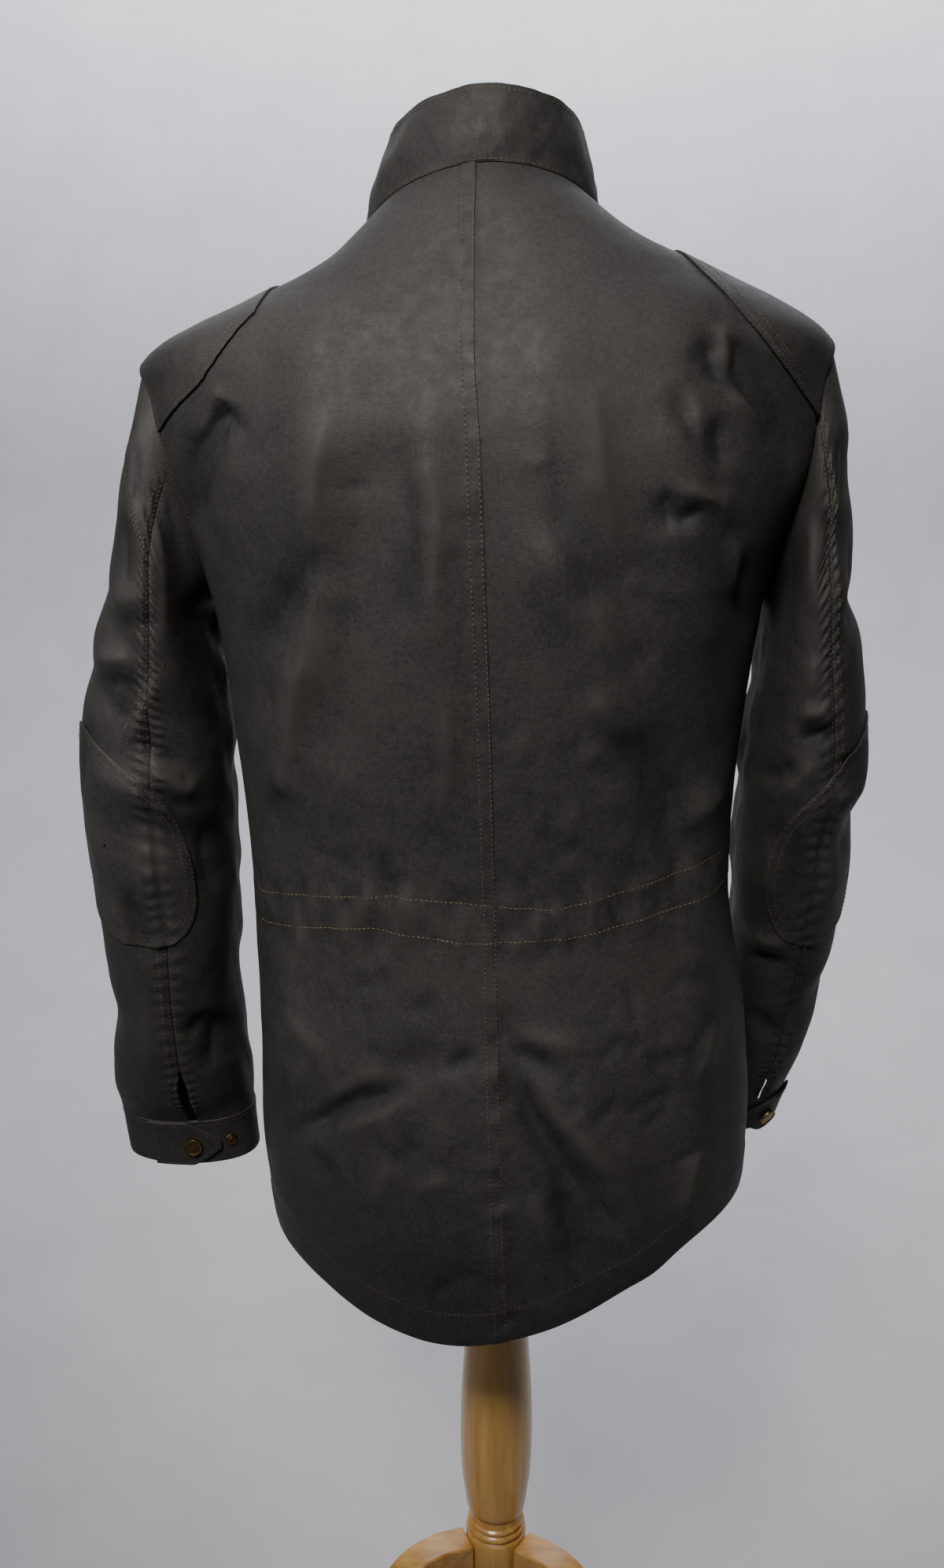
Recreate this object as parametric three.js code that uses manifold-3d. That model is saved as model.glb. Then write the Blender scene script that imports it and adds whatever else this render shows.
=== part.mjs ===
// Waxed cotton jacket with a stand collar, worn by a limbless dress form on a turned wooden stand.
// Millimetres, +Z up. The wearer's left is +X, the front faces -Y and the feet stand on Z = 0. Every size
// below is measured from the axis of the dress form; the last lines move the whole to its own middle.

import * as THREE from 'three';
import { mergeVertices } from 'three/addons/utils/BufferGeometryUtils.js';
import Module from 'manifold-3d';

const wasm = await Module();
wasm.setup();

const seamGap = 0.3;        // between two pieces that are sewn edge to edge
const layGap = 0.35;        // between a panel and what lies on it
const cloth = { shell: 1.6, patch: 1.2, collar: 3.2, cuff: 2.6, placket: 2 };
const formInset = { body: 11, shoulder: 4, from: 7.6, to: 9.4 };  // from the cloth's outside to the dress form
const snap = { capRadius: 7.5, capHeight: 3.2, studRadius: 5, studHeight: 2.4, spacing: 1.9 };
const sleeveSquare = 2.2;
const armhole = {
  middle: 6.45, reach: 1.55, angle: THREE.MathUtils.degToRad(21.5), inset: { left: 2.4, right: 1.3 },
};
const column = { x: -2.5, foot: 168, top: 655 };
const leg = { thickness: 25, spread: [30, 150, 270] };

const colours = {
  waxedCotton: 0x2f2d29, waxedPatch: 0x2b2925, brass: 0x8a7040,
  linen: 0xb7ab95, pine: 0x96692f,
};

// One row for each level of the body cloth, from the hem to the neck seam: heights at the side line,
// centre back and centre front, half sizes, the middle's and the back seam's X. tilt lowers the left
// side, swing the left of the centre back, and bow says how late a level drops from its side height
// to its back and front heights.
const bodyRows = [
  { level: 'hem', sideZ: 636, rearZ: 587, foreZ: 634, wide: 184, rear: 150, fore: 136,
    square: 2.25, middle: -5, seamX: -22, tilt: -30, swing: -28, bow: 5.5 },
  { level: 'seat', sideZ: 704, rearZ: 672, foreZ: 704, wide: 189, rear: 147, fore: 138,
    square: 2.25, middle: -3, seamX: -17, tilt: -23, swing: -10, bow: 3 },
  { level: 'hip', sideZ: 776, rearZ: 762, foreZ: 776, wide: 185, rear: 134, fore: 134,
    square: 2.25, middle: 0, seamX: -13, tilt: -19, swing: 0, bow: 2 },
  { level: 'waist', sideZ: 868, rearZ: 866, foreZ: 868, wide: 178, rear: 114, fore: 124,
    square: 2.25, middle: 8, seamX: -9, tilt: -16, swing: 0, bow: 2 },
  { level: 'ribs', sideZ: 980, rearZ: 985, foreZ: 980, wide: 183, rear: 124, fore: 136,
    square: 2.25, middle: 11, seamX: -7, tilt: -9, swing: 0, bow: 2 },
  { level: 'armpit', sideZ: 1098, rearZ: 1104, foreZ: 1095, wide: 198, rear: 137, fore: 146,
    square: 2.35, middle: 11, seamX: -4, tilt: -3, swing: 0, bow: 2 },
  { level: 'blade', sideZ: 1175, rearZ: 1180, foreZ: 1166, wide: 224, rear: 138, fore: 143,
    square: 2.4, middle: 12, seamX: -1, tilt: -3, swing: 0, bow: 2 },
  { level: 'yoke', sideZ: 1224, rearZ: 1226, foreZ: 1206, wide: 232, rear: 131, fore: 134,
    square: 2.4, middle: 13, seamX: 3, tilt: -4, swing: 0, bow: 2 },
  { level: 'tip', sideZ: 1257, rearZ: 1262, foreZ: 1236, wide: 231, rear: 120, fore: 122,
    square: 2.35, middle: 14, seamX: 5, tilt: -5, swing: 0, bow: 2 },
  { level: 'shoulder', sideZ: 1290, rearZ: 1295, foreZ: 1266, wide: 166, rear: 105, fore: 107,
    square: 2.25, middle: 13, seamX: 6.5, tilt: -8, swing: 0, bow: 2 },
  { level: 'slope', sideZ: 1310, rearZ: 1330, foreZ: 1288, wide: 113, rear: 89, fore: 94,
    square: 2.1, middle: 12, seamX: 7.5, tilt: -8, swing: 0, bow: 1.6 },
  { level: 'neck', sideZ: 1333, rearZ: 1359, foreZ: 1306, wide: 80, rear: 72, fore: 80,
    square: 2, middle: 11.6, seamX: 8, tilt: -5, swing: 0, bow: 1.3 },
];
const lastLevel = bodyRows.length - 1;
const shoulderLevel = armhole.middle + armhole.reach;
const armpitLevel = armhole.middle - armhole.reach;

const collarRows = [
  { level: 'seam', sideZ: 1333.6, rearZ: 1359.6, foreZ: 1306.6, wide: 80, rear: 72, fore: 80,
    square: 2, middle: 11.6, seamX: 8, tilt: -5, swing: 0, bow: 1.3 },
  { level: 'roll', sideZ: 1354, rearZ: 1377, foreZ: 1328, wide: 77, rear: 71, fore: 80,
    square: 2, middle: 11, seamX: 7, tilt: -3, swing: 0, bow: 1.4 },
  { level: 'stand', sideZ: 1375, rearZ: 1393, foreZ: 1352, wide: 70, rear: 66, fore: 79,
    square: 2, middle: 10, seamX: 3, tilt: 0, swing: 0, bow: 1.5 },
  { level: 'edge', sideZ: 1395, rearZ: 1407, foreZ: 1372, wide: 63, rear: 60, fore: 77,
    square: 2, middle: 8.5, seamX: 0, tilt: 1, swing: 0, bow: 1.5 },
];

// The largest folds of the body, each a soft ridge (+) or trough (-) along a line from one end to the other.
const bodyFolds = [
  { face: 'rear', fromX: 105, fromZ: 1235, toX: 108, toZ: 1110, spread: 20, lift: 5 },
  { face: 'rear', fromX: 112, fromZ: 1110, toX: 150, toZ: 1030, spread: 18, lift: -5 },
  { face: 'rear', fromX: 67, fromZ: 1165, toX: 95, toZ: 1010, spread: 20, lift: -5 },
  { face: 'rear', fromX: 32, fromZ: 1200, toX: 26, toZ: 1010, spread: 17, lift: 4 },
  { face: 'rear', fromX: -41, fromZ: 1230, toX: -46, toZ: 1115, spread: 20, lift: 5 },
  { face: 'rear', fromX: -46, fromZ: 1115, toX: -95, toZ: 1020, spread: 19, lift: 5 },
  { face: 'rear', fromX: -79, fromZ: 1192, toX: -91, toZ: 1060, spread: 16, lift: -6 },
  { face: 'rear', fromX: -120, fromZ: 1190, toX: -136, toZ: 1080, spread: 17, lift: 5 },
  { face: 'rear', fromX: -106, fromZ: 998, toX: -134, toZ: 930, spread: 15, lift: -6 },
  { face: 'rear', fromX: 176, fromZ: 1205, toX: 196, toZ: 1140, spread: 15, lift: -6 },
  { face: 'rear', fromX: -150, fromZ: 1250, toX: -190, toZ: 1190, spread: 15, lift: -6 },
  { face: 'rear', fromX: 134, fromZ: 1040, toX: 160, toZ: 840, spread: 18, lift: 5 },
  { face: 'rear', fromX: -148, fromZ: 960, toX: -150, toZ: 690, spread: 17, lift: 5 },
  { face: 'rear', fromX: 108, fromZ: 735, toX: 45, toZ: 778, spread: 15, lift: -5 },
  { face: 'rear', fromX: -18, fromZ: 800, toX: -80, toZ: 690, spread: 17, lift: -5 },
  { face: 'rear', fromX: 140, fromZ: 800, toX: 148, toZ: 660, spread: 17, lift: 5 },
  { face: 'rear', fromX: -64, fromZ: 760, toX: -112, toZ: 650, spread: 18, lift: 5 },
  { face: 'fore', fromX: 118, fromZ: 1190, toX: 96, toZ: 1040, spread: 20, lift: 5 },
  { face: 'fore', fromX: -112, fromZ: 1180, toX: -88, toZ: 1030, spread: 20, lift: 5 },
  { face: 'fore', fromX: 74, fromZ: 1130, toX: 120, toZ: 960, spread: 18, lift: -5 },
  { face: 'fore', fromX: -78, fromZ: 1120, toX: -128, toZ: 950, spread: 18, lift: -5 },
  { face: 'fore', fromX: 138, fromZ: 830, toX: 146, toZ: 680, spread: 18, lift: 5 },
  { face: 'fore', fromX: -120, fromZ: 820, toX: -142, toZ: 670, spread: 18, lift: 5 },
];

// Each sleeve from its head to the cuff: the outer and inner line as seen from behind, the depth
// from front to back as a half size. Ring 0 is the armhole itself.
const sleeveRows = {
  left: [
    { outX: 250, outY: 2, outZ: 1216, inX: 215, inY: 2, inZ: 1076, deep: 68 },
    { outX: 264, outY: 1, outZ: 1168, inX: 214, inY: 1, inZ: 1050, deep: 68 },
    { outX: 277, outY: 0, outZ: 1118, inX: 210, inY: 0, inZ: 1022, deep: 67 },
    { outX: 294, outY: -3, outZ: 1068, inX: 208, inY: -3, inZ: 996, deep: 66 },
    { outX: 308, outY: -6, outZ: 1020, inX: 205, inY: -6, inZ: 970, deep: 66 },
    { outX: 317, outY: -8, outZ: 966, inX: 206, inY: -8, inZ: 936, deep: 66 },
    { outX: 315, outY: -10, outZ: 894, inX: 206, inY: -10, inZ: 884, deep: 63 },
    { outX: 313, outY: -13, outZ: 836, inX: 207, inY: -13, inZ: 832, deep: 60 },
    { outX: 311, outY: -16, outZ: 782, inX: 211, inY: -16, inZ: 780, deep: 57 },
    { outX: 315, outY: -20, outZ: 726, inX: 208, inY: -20, inZ: 728, deep: 53 },
    { outX: 318, outY: -24, outZ: 692, inX: 206, inY: -24, inZ: 694, deep: 48 },
    { outX: 316, outY: -26, outZ: 664, inX: 205, inY: -26, inZ: 666, deep: 35 },
    { outX: 311, outY: -28, outZ: 625, inX: 203, inY: -28, inZ: 627, deep: 33 },
  ],
  right: [
    { outX: -231, outY: 2, outZ: 1216, inX: -191, inY: 2, inZ: 1076, deep: 68 },
    { outX: -237, outY: 1, outZ: 1168, inX: -190, inY: 1, inZ: 1050, deep: 69 },
    { outX: -245, outY: 0, outZ: 1118, inX: -187, inY: 0, inZ: 1022, deep: 70 },
    { outX: -252, outY: -3, outZ: 1068, inX: -184, inY: -3, inZ: 996, deep: 71 },
    { outX: -260, outY: -8, outZ: 1018, inX: -181, inY: -8, inZ: 968, deep: 71 },
    { outX: -261, outY: -20, outZ: 958, inX: -181, inY: -20, inZ: 936, deep: 70 },
    { outX: -264, outY: -40, outZ: 894, inX: -182, inY: -40, inZ: 884, deep: 66 },
    { outX: -264, outY: -60, outZ: 836, inX: -185, inY: -60, inZ: 832, deep: 62 },
    { outX: -261, outY: -79, outZ: 778, inX: -185, inY: -79, inZ: 778, deep: 59 },
    { outX: -254, outY: -96, outZ: 730, inX: -183, inY: -96, inZ: 732, deep: 57 },
    { outX: -248, outY: -105, outZ: 704, inX: -182, inY: -105, inZ: 706, deep: 55 },
    { outX: -243, outY: -112, outZ: 684, inX: -180, inY: -112, inZ: 686, deep: 51 },
    { outX: -235, outY: -123, outZ: 648, inX: -174, inY: -123, inZ: 652, deep: 48 },
  ],
};
const cuffTop = sleeveRows.left.length - 1;
const headEnd = 1.25;
const sleeveSeams = { left: { rear: 104, fore: -99 }, right: { rear: 84, fore: -112 } };

// Bends and gathers of the sleeves: angle round the arm, place along it, half sizes of each and the lift.
const sleeveFolds = [
  { arm: 'left', angle: 92, place: 5.9, turn: 34, run: 0.32, lift: 6 },
  { arm: 'left', angle: 120, place: 6.5, turn: 36, run: 0.3, lift: -5 },
  { arm: 'left', angle: 60, place: 3.4, turn: 40, run: 0.3, lift: -5 },
  { arm: 'left', angle: 50, place: 4.6, turn: 38, run: 0.3, lift: -5 },
  { arm: 'left', angle: 30, place: 9.4, turn: 34, run: 0.35, lift: -5 },
  { arm: 'left', angle: 250, place: 5.6, turn: 45, run: 0.35, lift: -6 },
  { arm: 'right', angle: 30, place: 3.4, turn: 38, run: 0.3, lift: -5 },
  { arm: 'right', angle: 62, place: 5.5, turn: 36, run: 0.32, lift: 6 },
  { arm: 'right', angle: 40, place: 6.2, turn: 36, run: 0.3, lift: -5 },
  { arm: 'right', angle: 45, place: 8.8, turn: 36, run: 0.35, lift: -5 },
  { arm: 'right', angle: 250, place: 5.8, turn: 45, run: 0.35, lift: -6 },
];
const elbowPatch = {
  left: { angle: 68, place: 6.7, halfWidth: 57, halfHeight: 84, lean: -0.38 },
  right: { angle: 50, place: 6.3, halfWidth: 54, halfHeight: 88, lean: 0.25 },
};
const vent = { from: 10.1, width: 8 };
const cuffTab = {
  left: { angle: 92, rear: -24, square: 6, tip: 31, snapAngle: 101, studAngle: 136 },
  right: { angle: 56, rear: -20, square: 5, tip: 25, snapAngle: 63, studAngle: 118 },
};
const tabHeight = { half: 20, tip: 3 };

// The straight edge of each shoulder patch as seen from behind, from the shoulder line to the armhole
const shoulderPatch = {
  left: { topX: 141, topZ: 1312, lowX: 218, lowZ: 1196 },
  right: { topX: -100, topZ: 1330, lowX: -216, lowZ: 1200 },
};
const placketHalf = 27;
const foldFade = 0.22;       // radians over which the folds grow from a side seam or an armhole

const group = new THREE.Group();

function material(colour, roughness, metalness = 0) {
  return new THREE.MeshStandardMaterial({ color: colour, roughness, metalness });
}

function addMesh(name, geometry, finish, position) {
  const mesh = new THREE.Mesh(geometry, finish);
  mesh.name = name;
  if (position) mesh.position.copy(position);
  group.add(mesh);
  return mesh;
}

// A smooth curve through one column of a table, at a place counted in rows.
function sample(rows, column, place) {
  const last = rows.length - 1;
  const index = THREE.MathUtils.clamp(Math.floor(place), 0, last - 1);
  const t = THREE.MathUtils.clamp(place, 0, last) - index;
  const at = (i) => rows[THREE.MathUtils.clamp(i, 0, last)][column];
  const [a, b, c, d] = [at(index - 1), at(index), at(index + 1), at(index + 2)];
  const linear = c - a;
  const square = 2 * a - 5 * b + 4 * c - d;
  const cube = 3 * b - a - 3 * c + d;
  return 0.5 * (2 * b + t * (linear + t * (square + t * cube)));
}

function signedPower(value, power) {
  return Math.sign(value) * Math.abs(value) ** power;
}

// A point of a ring table: angle 0 is the left side line, 90 degrees the centre back.
function ringPoint(rows, angle, place) {
  const get = (column) => sample(rows, column, place);
  const power = 2 / get('square');
  const across = signedPower(Math.cos(angle), power);
  const depth = signedPower(Math.sin(angle), power);
  const rear = depth >= 0;
  const middle = get('middle');
  const seamShift = (get('seamX') - middle) * depth;
  const sideZ = get('sideZ');
  const endZ = rear ? get('rearZ') : get('foreZ');
  return new THREE.Vector3(
    middle + seamShift + get('wide') * across,
    depth * (rear ? get('rear') : get('fore')),
    sideZ + (endZ - sideZ) * Math.abs(depth) ** get('bow') + across * (get('tilt') + get('swing') * depth ** 4),
  );
}

// The outward unit normal of a surface given as a function of two numbers.
function surfaceNormal(pointAt, u, v, stepU, stepV, lowV, highV) {
  const v0 = Math.max(v - stepV, lowV);
  const v1 = Math.min(v + stepV, highV);
  const alongU = pointAt(u + stepU, v).sub(pointAt(u - stepU, v));
  const alongV = pointAt(u, v1).sub(pointAt(u, v0));
  return alongU.cross(alongV).normalize();
}

function foldLift(point) {
  const face = point.y >= 0 ? 'rear' : 'fore';
  let lift = 0;
  for (const fold of bodyFolds) {
    if (fold.face !== face) continue;
    const runX = fold.toX - fold.fromX;
    const runZ = fold.toZ - fold.fromZ;
    const length = Math.hypot(runX, runZ);
    const along = ((point.x - fold.fromX) * runX + (point.z - fold.fromZ) * runZ) / length;
    const off = ((point.x - fold.fromX) * runZ - (point.z - fold.fromZ) * runX) / length;
    const past = Math.max(0, -along, along - length);
    lift += fold.lift * Math.exp(-((off / fold.spread) ** 2) - (past / (1.3 * fold.spread)) ** 2);
  }
  return lift;
}

function bodySpot(angle, place) {
  const pointAt = (u, v) => ringPoint(bodyRows, u, v);
  const point = pointAt(angle, place);
  const normal = surfaceNormal(pointAt, angle, place, 0.02, 0.05, 0, lastLevel);
  const fromSide = Math.asin(Math.abs(Math.sin(angle)));
  const fade = THREE.MathUtils.smoothstep(fromSide - armholeEdge(place), 0, foldFade);
  point.addScaledVector(normal, fade * foldLift(point));
  return { point, normal };
}

function collarSpot(angle, place) {
  const pointAt = (u, v) => ringPoint(collarRows, u, v);
  const normal = surfaceNormal(pointAt, angle, place, 0.02, 0.05, 0, collarRows.length - 1);
  return { point: pointAt(angle, place), normal };
}

// The armhole is an oval of the body surface. turn 0 is its top, 90 degrees its back edge.
function armholeAngle(turn) {
  return armhole.angle * Math.sin(turn);
}

function sideAngle(side, angle) {
  return side === 'left' ? angle : Math.PI - angle;
}

// A sleeve starts on the straight stretches of the panels' own edge, a little inside it.
function armholePoint(side, turn) {
  const face = Math.sin(turn) >= 0 ? 'rear' : 'fore';
  const place = armhole.middle + armhole.reach * Math.cos(turn);
  const above = levelRows.findIndex((level) => level > place);
  const share = (place - levelRows[above - 1]) / (levelRows[above] - levelRows[above - 1]);
  const edgeAt = (row) => panels[side][face][row].at(-1).point;
  const edge = edgeAt(above - 1).clone().lerp(edgeAt(above), share);
  const centre = ringPoint(bodyRows, sideAngle(side, 0), armhole.middle);
  return edge.lerp(centre, armhole.inset[side] / edge.distanceTo(centre));
}

// Ring number place of a sleeve: ring 0 is the armhole, the rest are flattened ovals.
function sleeveRing(side, turn, ring) {
  if (ring <= 0) return armholePoint(side, turn);
  const rows = sleeveRows[side];
  const index = Math.min(ring, rows.length) - 1;
  const row = rows[index];
  const outer = new THREE.Vector3(row.outX, row.outY, row.outZ);
  const inner = new THREE.Vector3(row.inX, row.inY, row.inZ);
  const across = outer.clone().sub(inner).multiplyScalar(0.5);
  const centreOf = (r) => new THREE.Vector3((r.outX + r.inX) / 2, (r.outY + r.inY) / 2, (r.outZ + r.inZ) / 2);
  const ahead = centreOf(rows[Math.min(index + 1, rows.length - 1)]);
  const behind = centreOf(rows[Math.max(index - 1, 0)]);
  const depth = new THREE.Vector3().crossVectors(ahead.sub(behind), across).normalize();
  if (depth.y < 0) depth.negate();
  const power = 2 / sleeveSquare;
  return centreOf(row)
    .addScaledVector(across, signedPower(Math.cos(turn), power))
    .addScaledVector(depth, row.deep * signedPower(Math.sin(turn), power));
}

function sleevePoint(side, turn, place) {
  const last = sleeveRows[side].length;
  const index = THREE.MathUtils.clamp(Math.floor(place), 0, last - 1);
  const t = THREE.MathUtils.clamp(place, 0, last) - index;
  const rings = [-1, 0, 1, 2].map((i) => sleeveRing(side, turn, THREE.MathUtils.clamp(index + i, 0, last)));
  const weights = [
    0.5 * (-t + 2 * t * t - t ** 3), 0.5 * (2 - 5 * t * t + 3 * t ** 3),
    0.5 * (t + 4 * t * t - 3 * t ** 3), 0.5 * (-t * t + t ** 3),
  ];
  const point = new THREE.Vector3();
  rings.forEach((ring, i) => point.addScaledVector(ring, weights[i]));
  return point;
}

function sleeveSpot(side, turn, place) {
  const pointAt = (u, v) => sleevePoint(side, u, v);
  const point = pointAt(turn, place);
  const normal = surfaceNormal(pointAt, turn, place, 0.03, 0.06, 0, sleeveRows[side].length);
  if (side === 'left') normal.negate();
  const degrees = THREE.MathUtils.radToDeg(turn);
  for (const fold of sleeveFolds) {
    if (fold.arm !== side) continue;
    const off = ((degrees - fold.angle + 540) % 360) - 180;
    const share = Math.exp(-((off / fold.turn) ** 2) - ((place - fold.place) / fold.run) ** 2);
    point.addScaledVector(normal, fold.lift * share);
  }
  const headBlend = Math.max(0, 1 - place / 0.4);
  if (headBlend > 0) {
    const armholePlace = armhole.middle + armhole.reach * Math.cos(turn);
    const bodyNormal = bodySpot(sideAngle(side, armholeAngle(turn)), armholePlace).normal;
    const agree = Math.max(0, bodyNormal.dot(normal));
    normal.lerp(bodyNormal, headBlend * Math.min(1, 1.6 * agree)).normalize();
  }
  return { point, normal };
}

// A closed wall from a grid of spots: the outside layer, the inside layer and the edges between them.
// spots[row][column]; a ring joins its last column to its first.
function wall(spots, outside, inside, ring = false) {
  const rows = spots.length;
  const columns = spots[0].length;
  const positions = [];
  const indices = [];
  for (const offset of [outside, inside]) {
    for (const line of spots) {
      for (const { point, normal } of line) {
        positions.push(point.x + normal.x * offset, point.y + normal.y * offset, point.z + normal.z * offset);
      }
    }
  }
  const at = (layer, r, c) => layer * rows * columns + r * columns + (c % columns);
  const quad = (a, b, c, d) => indices.push(a, b, c, a, c, d);
  const spans = ring ? columns : columns - 1;
  for (let r = 0; r < rows - 1; r += 1) {
    for (let c = 0; c < spans; c += 1) {
      quad(at(0, r, c), at(0, r, c + 1), at(0, r + 1, c + 1), at(0, r + 1, c));
      quad(at(1, r, c), at(1, r + 1, c), at(1, r + 1, c + 1), at(1, r, c + 1));
    }
  }
  for (let c = 0; c < spans; c += 1) {
    quad(at(0, 0, c), at(1, 0, c), at(1, 0, c + 1), at(0, 0, c + 1));
    quad(at(0, rows - 1, c), at(0, rows - 1, c + 1), at(1, rows - 1, c + 1), at(1, rows - 1, c));
  }
  if (!ring) {
    for (let r = 0; r < rows - 1; r += 1) {
      quad(at(0, r, 0), at(0, r + 1, 0), at(1, r + 1, 0), at(1, r, 0));
      quad(at(0, r, columns - 1), at(1, r, columns - 1), at(1, r + 1, columns - 1), at(0, r + 1, columns - 1));
    }
  }
  return closedGeometry(positions, indices);
}

function closedGeometry(positions, indices) {
  if (signedVolume(positions, indices) < 0) {
    for (let i = 0; i < indices.length; i += 3) {
      [indices[i + 1], indices[i + 2]] = [indices[i + 2], indices[i + 1]];
    }
  }
  const geometry = new THREE.BufferGeometry();
  geometry.setAttribute('position', new THREE.Float32BufferAttribute(positions, 3));
  geometry.setIndex(indices);
  geometry.computeVertexNormals();
  return geometry;
}

function signedVolume(positions, indices) {
  const corner = (i) => new THREE.Vector3().fromArray(positions, 3 * i);
  let volume = 0;
  for (let i = 0; i < indices.length; i += 3) {
    volume += corner(indices[i]).dot(corner(indices[i + 1]).cross(corner(indices[i + 2])));
  }
  return volume;
}

function grid(rowValues, columnCount, spotAt) {
  return rowValues.map((value) => Array.from({ length: columnCount + 1 }, (_, c) => spotAt(value, c / columnCount)));
}

function evenly(from, to, count) {
  return Array.from({ length: count + 1 }, (_, i) => from + ((to - from) * i) / count);
}

// Turns a distance from the end of a superellipse axis into the angle that leaves it.
function edgeAngle(distance, halfSize, square) {
  return Math.asin(Math.min(1, (distance / halfSize) ** (square / 2)));
}

// Body panels
const panelColumns = { rear: 12, fore: 9 };
const levelRows = [
  ...evenly(0, armpitLevel - 0.02, 11),
  ...evenly(0, 1, 9).slice(1, 9).map((f) => armhole.middle - (armhole.reach + 0.02) * Math.cos(Math.PI * f)),
  ...evenly(shoulderLevel + 0.02, lastLevel - 0.004, 5),
];

function armholeEdge(place) {
  const reach = armhole.reach + 0.006;
  const off = (place - armhole.middle) / reach;
  return Math.abs(off) < 1 ? (armhole.angle + 0.002) * Math.sqrt(1 - off * off) : 0;
}

// The points of one panel. On a front the second column is the placket's edge.
function panelSpots(side, face) {
  const front = face === 'fore';
  const columns = panelColumns[face];
  return grid(levelRows, columns, (place, f) => {
    const square = sample(bodyRows, 'square', place);
    const wide = sample(bodyRows, 'wide', place);
    const seamEdge = edgeAngle(seamGap / 2, sample(bodyRows, face, place), square);
    const middle = Math.PI / 2 - edgeAngle(seamGap / 2, wide, square);
    const outer = Math.max(armholeEdge(place), seamEdge);
    const placketEdge = Math.PI / 2 - edgeAngle(Math.min(placketHalf, wide / 4), wide, square);
    const column = Math.round(f * columns);
    let angle = middle + (outer - middle) * f;
    if (front && column > 0) angle = placketEdge + ((outer - placketEdge) * (column - 1)) / (columns - 1);
    return bodySpot(sideAngle(side, front ? -angle : angle), place);
  });
}

const waxed = material(colours.waxedCotton, 0.55);
const waxedPatch = material(colours.waxedPatch, 0.6);
const brass = material(colours.brass, 0.4, 1);
const panels = {};

for (const side of ['left', 'right']) {
  panels[side] = { rear: panelSpots(side, 'rear'), fore: panelSpots(side, 'fore') };
  addMesh(`back_${side}`, wall(panels[side].rear, 0, -cloth.shell), waxed);
  addMesh(`front_${side}`, wall(panels[side].fore, 0, -cloth.shell), waxed);
}

// A piece that lies on a panel: a skin of the panel's own points moved out, cut to an outline.
// The outline is in millimetres in the plane of right and up, and is pushed along their cross product.
function solidOf(geometry) {
  const bare = geometry.clone();
  bare.deleteAttribute('normal');
  if (bare.getAttribute('uv')) bare.deleteAttribute('uv');
  const merged = mergeVertices(bare, 1e-4);
  return new wasm.Manifold(new wasm.Mesh({
    numProp: 3,
    vertProperties: Float32Array.from(merged.getAttribute('position').array),
    triVerts: Uint32Array.from(merged.getIndex().array),
  }));
}

function geometryOf(solid) {
  const mesh = solid.getMesh();
  const geometry = new THREE.BufferGeometry();
  geometry.setAttribute('position', new THREE.Float32BufferAttribute(mesh.vertProperties, 3));
  geometry.setIndex(Array.from(mesh.triVerts));
  geometry.computeVertexNormals();
  return geometry;
}

function punch(outline, origin, right, up, depth) {
  const shape = new THREE.Shape(outline.map(([x, y]) => new THREE.Vector2(x, y)));
  const geometry = new THREE.ExtrudeGeometry(shape, { depth, bevelEnabled: false });
  const out = new THREE.Vector3().crossVectors(right, up);
  geometry.applyMatrix4(new THREE.Matrix4().makeBasis(right, up, out).setPosition(origin));
  return solidOf(geometry);
}

// Shoulder patches, over the shoulder seam from the back to the front
function patchGeometry(side) {
  const outside = layGap + cloth.patch;
  const { rear, fore } = panels[side];
  const firstAbove = levelRows.findIndex((place) => place > shoulderLevel);
  const bridge = rear.slice(firstAbove).map((line, i) => [line.at(-1), fore[firstAbove + i].at(-1)]);
  const skins = [rear, fore, bridge].map((spots) => solidOf(wall(spots, outside, layGap)));
  const skin = skins[0].add(skins[1]).add(skins[2]);
  const edge = shoulderPatch[side];
  const beyond = Math.sign(edge.topX) * 120;
  const slope = (edge.topX - edge.lowX) / (edge.topZ - edge.lowZ);
  const outline = [
    [edge.lowX - 60 * slope, edge.lowZ - 60], [edge.lowX - 60 * slope + beyond, edge.lowZ - 60],
    [edge.topX + beyond + 60 * slope, edge.topZ + 60], [edge.topX + 60 * slope, edge.topZ + 60],
  ];
  const right = new THREE.Vector3(1, 0, 0);
  const up = new THREE.Vector3(0, 0, 1);
  return geometryOf(skin.intersect(punch(outline, new THREE.Vector3(0, 200, 0), right, up, 400)));
}

for (const side of ['left', 'right']) addMesh(`shoulder_patch_${side}`, patchGeometry(side), waxedPatch);

// Collar, open by a narrow gap at the centre front
const collarOpening = 2;

function collarGeometry() {
  const gapAngle = edgeAngle(collarOpening / 2, collarRows[0].wide, 2);
  const from = -Math.PI / 2 + gapAngle;
  const to = (3 * Math.PI) / 2 - gapAngle;
  const levels = evenly(0, collarRows.length - 1, 4);
  const spots = grid(levels, 30, (place, f) => collarSpot(from + (to - from) * f, place));
  return wall(spots, 0, -cloth.collar);
}

addMesh('collar', collarGeometry(), waxed);

// Front placket and its snaps, lying on both fronts along the centre front
function placketGeometry() {
  const left = panels.left.fore.slice(0, -1).map((line) => line.slice(0, 2));
  const right = panels.right.fore.slice(0, -1).map((line) => line.slice(0, 2));
  const bridge = left.map((line, r) => [line[0], right[r][0]]);
  const skins = [left, right, bridge].map((spots) => solidOf(wall(spots, layGap + cloth.placket, layGap)));
  return geometryOf(skins[0].add(skins[1]).add(skins[2]));
}

function domeGeometry(radius, height) {
  const profile = [[0, 0], [radius, 0], [radius, height * 0.4], [radius * 0.72, height * 0.9], [0, height]];
  return new THREE.LatheGeometry(profile.map(([r, h]) => new THREE.Vector2(r, h)), 10);
}

function addSnap(name, spot, lift, radius, height) {
  const place = spot.point.clone().addScaledVector(spot.normal, lift);
  const mesh = addMesh(name, domeGeometry(radius, height), brass, place);
  mesh.quaternion.setFromUnitVectors(new THREE.Vector3(0, 1, 0), spot.normal);
}

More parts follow.
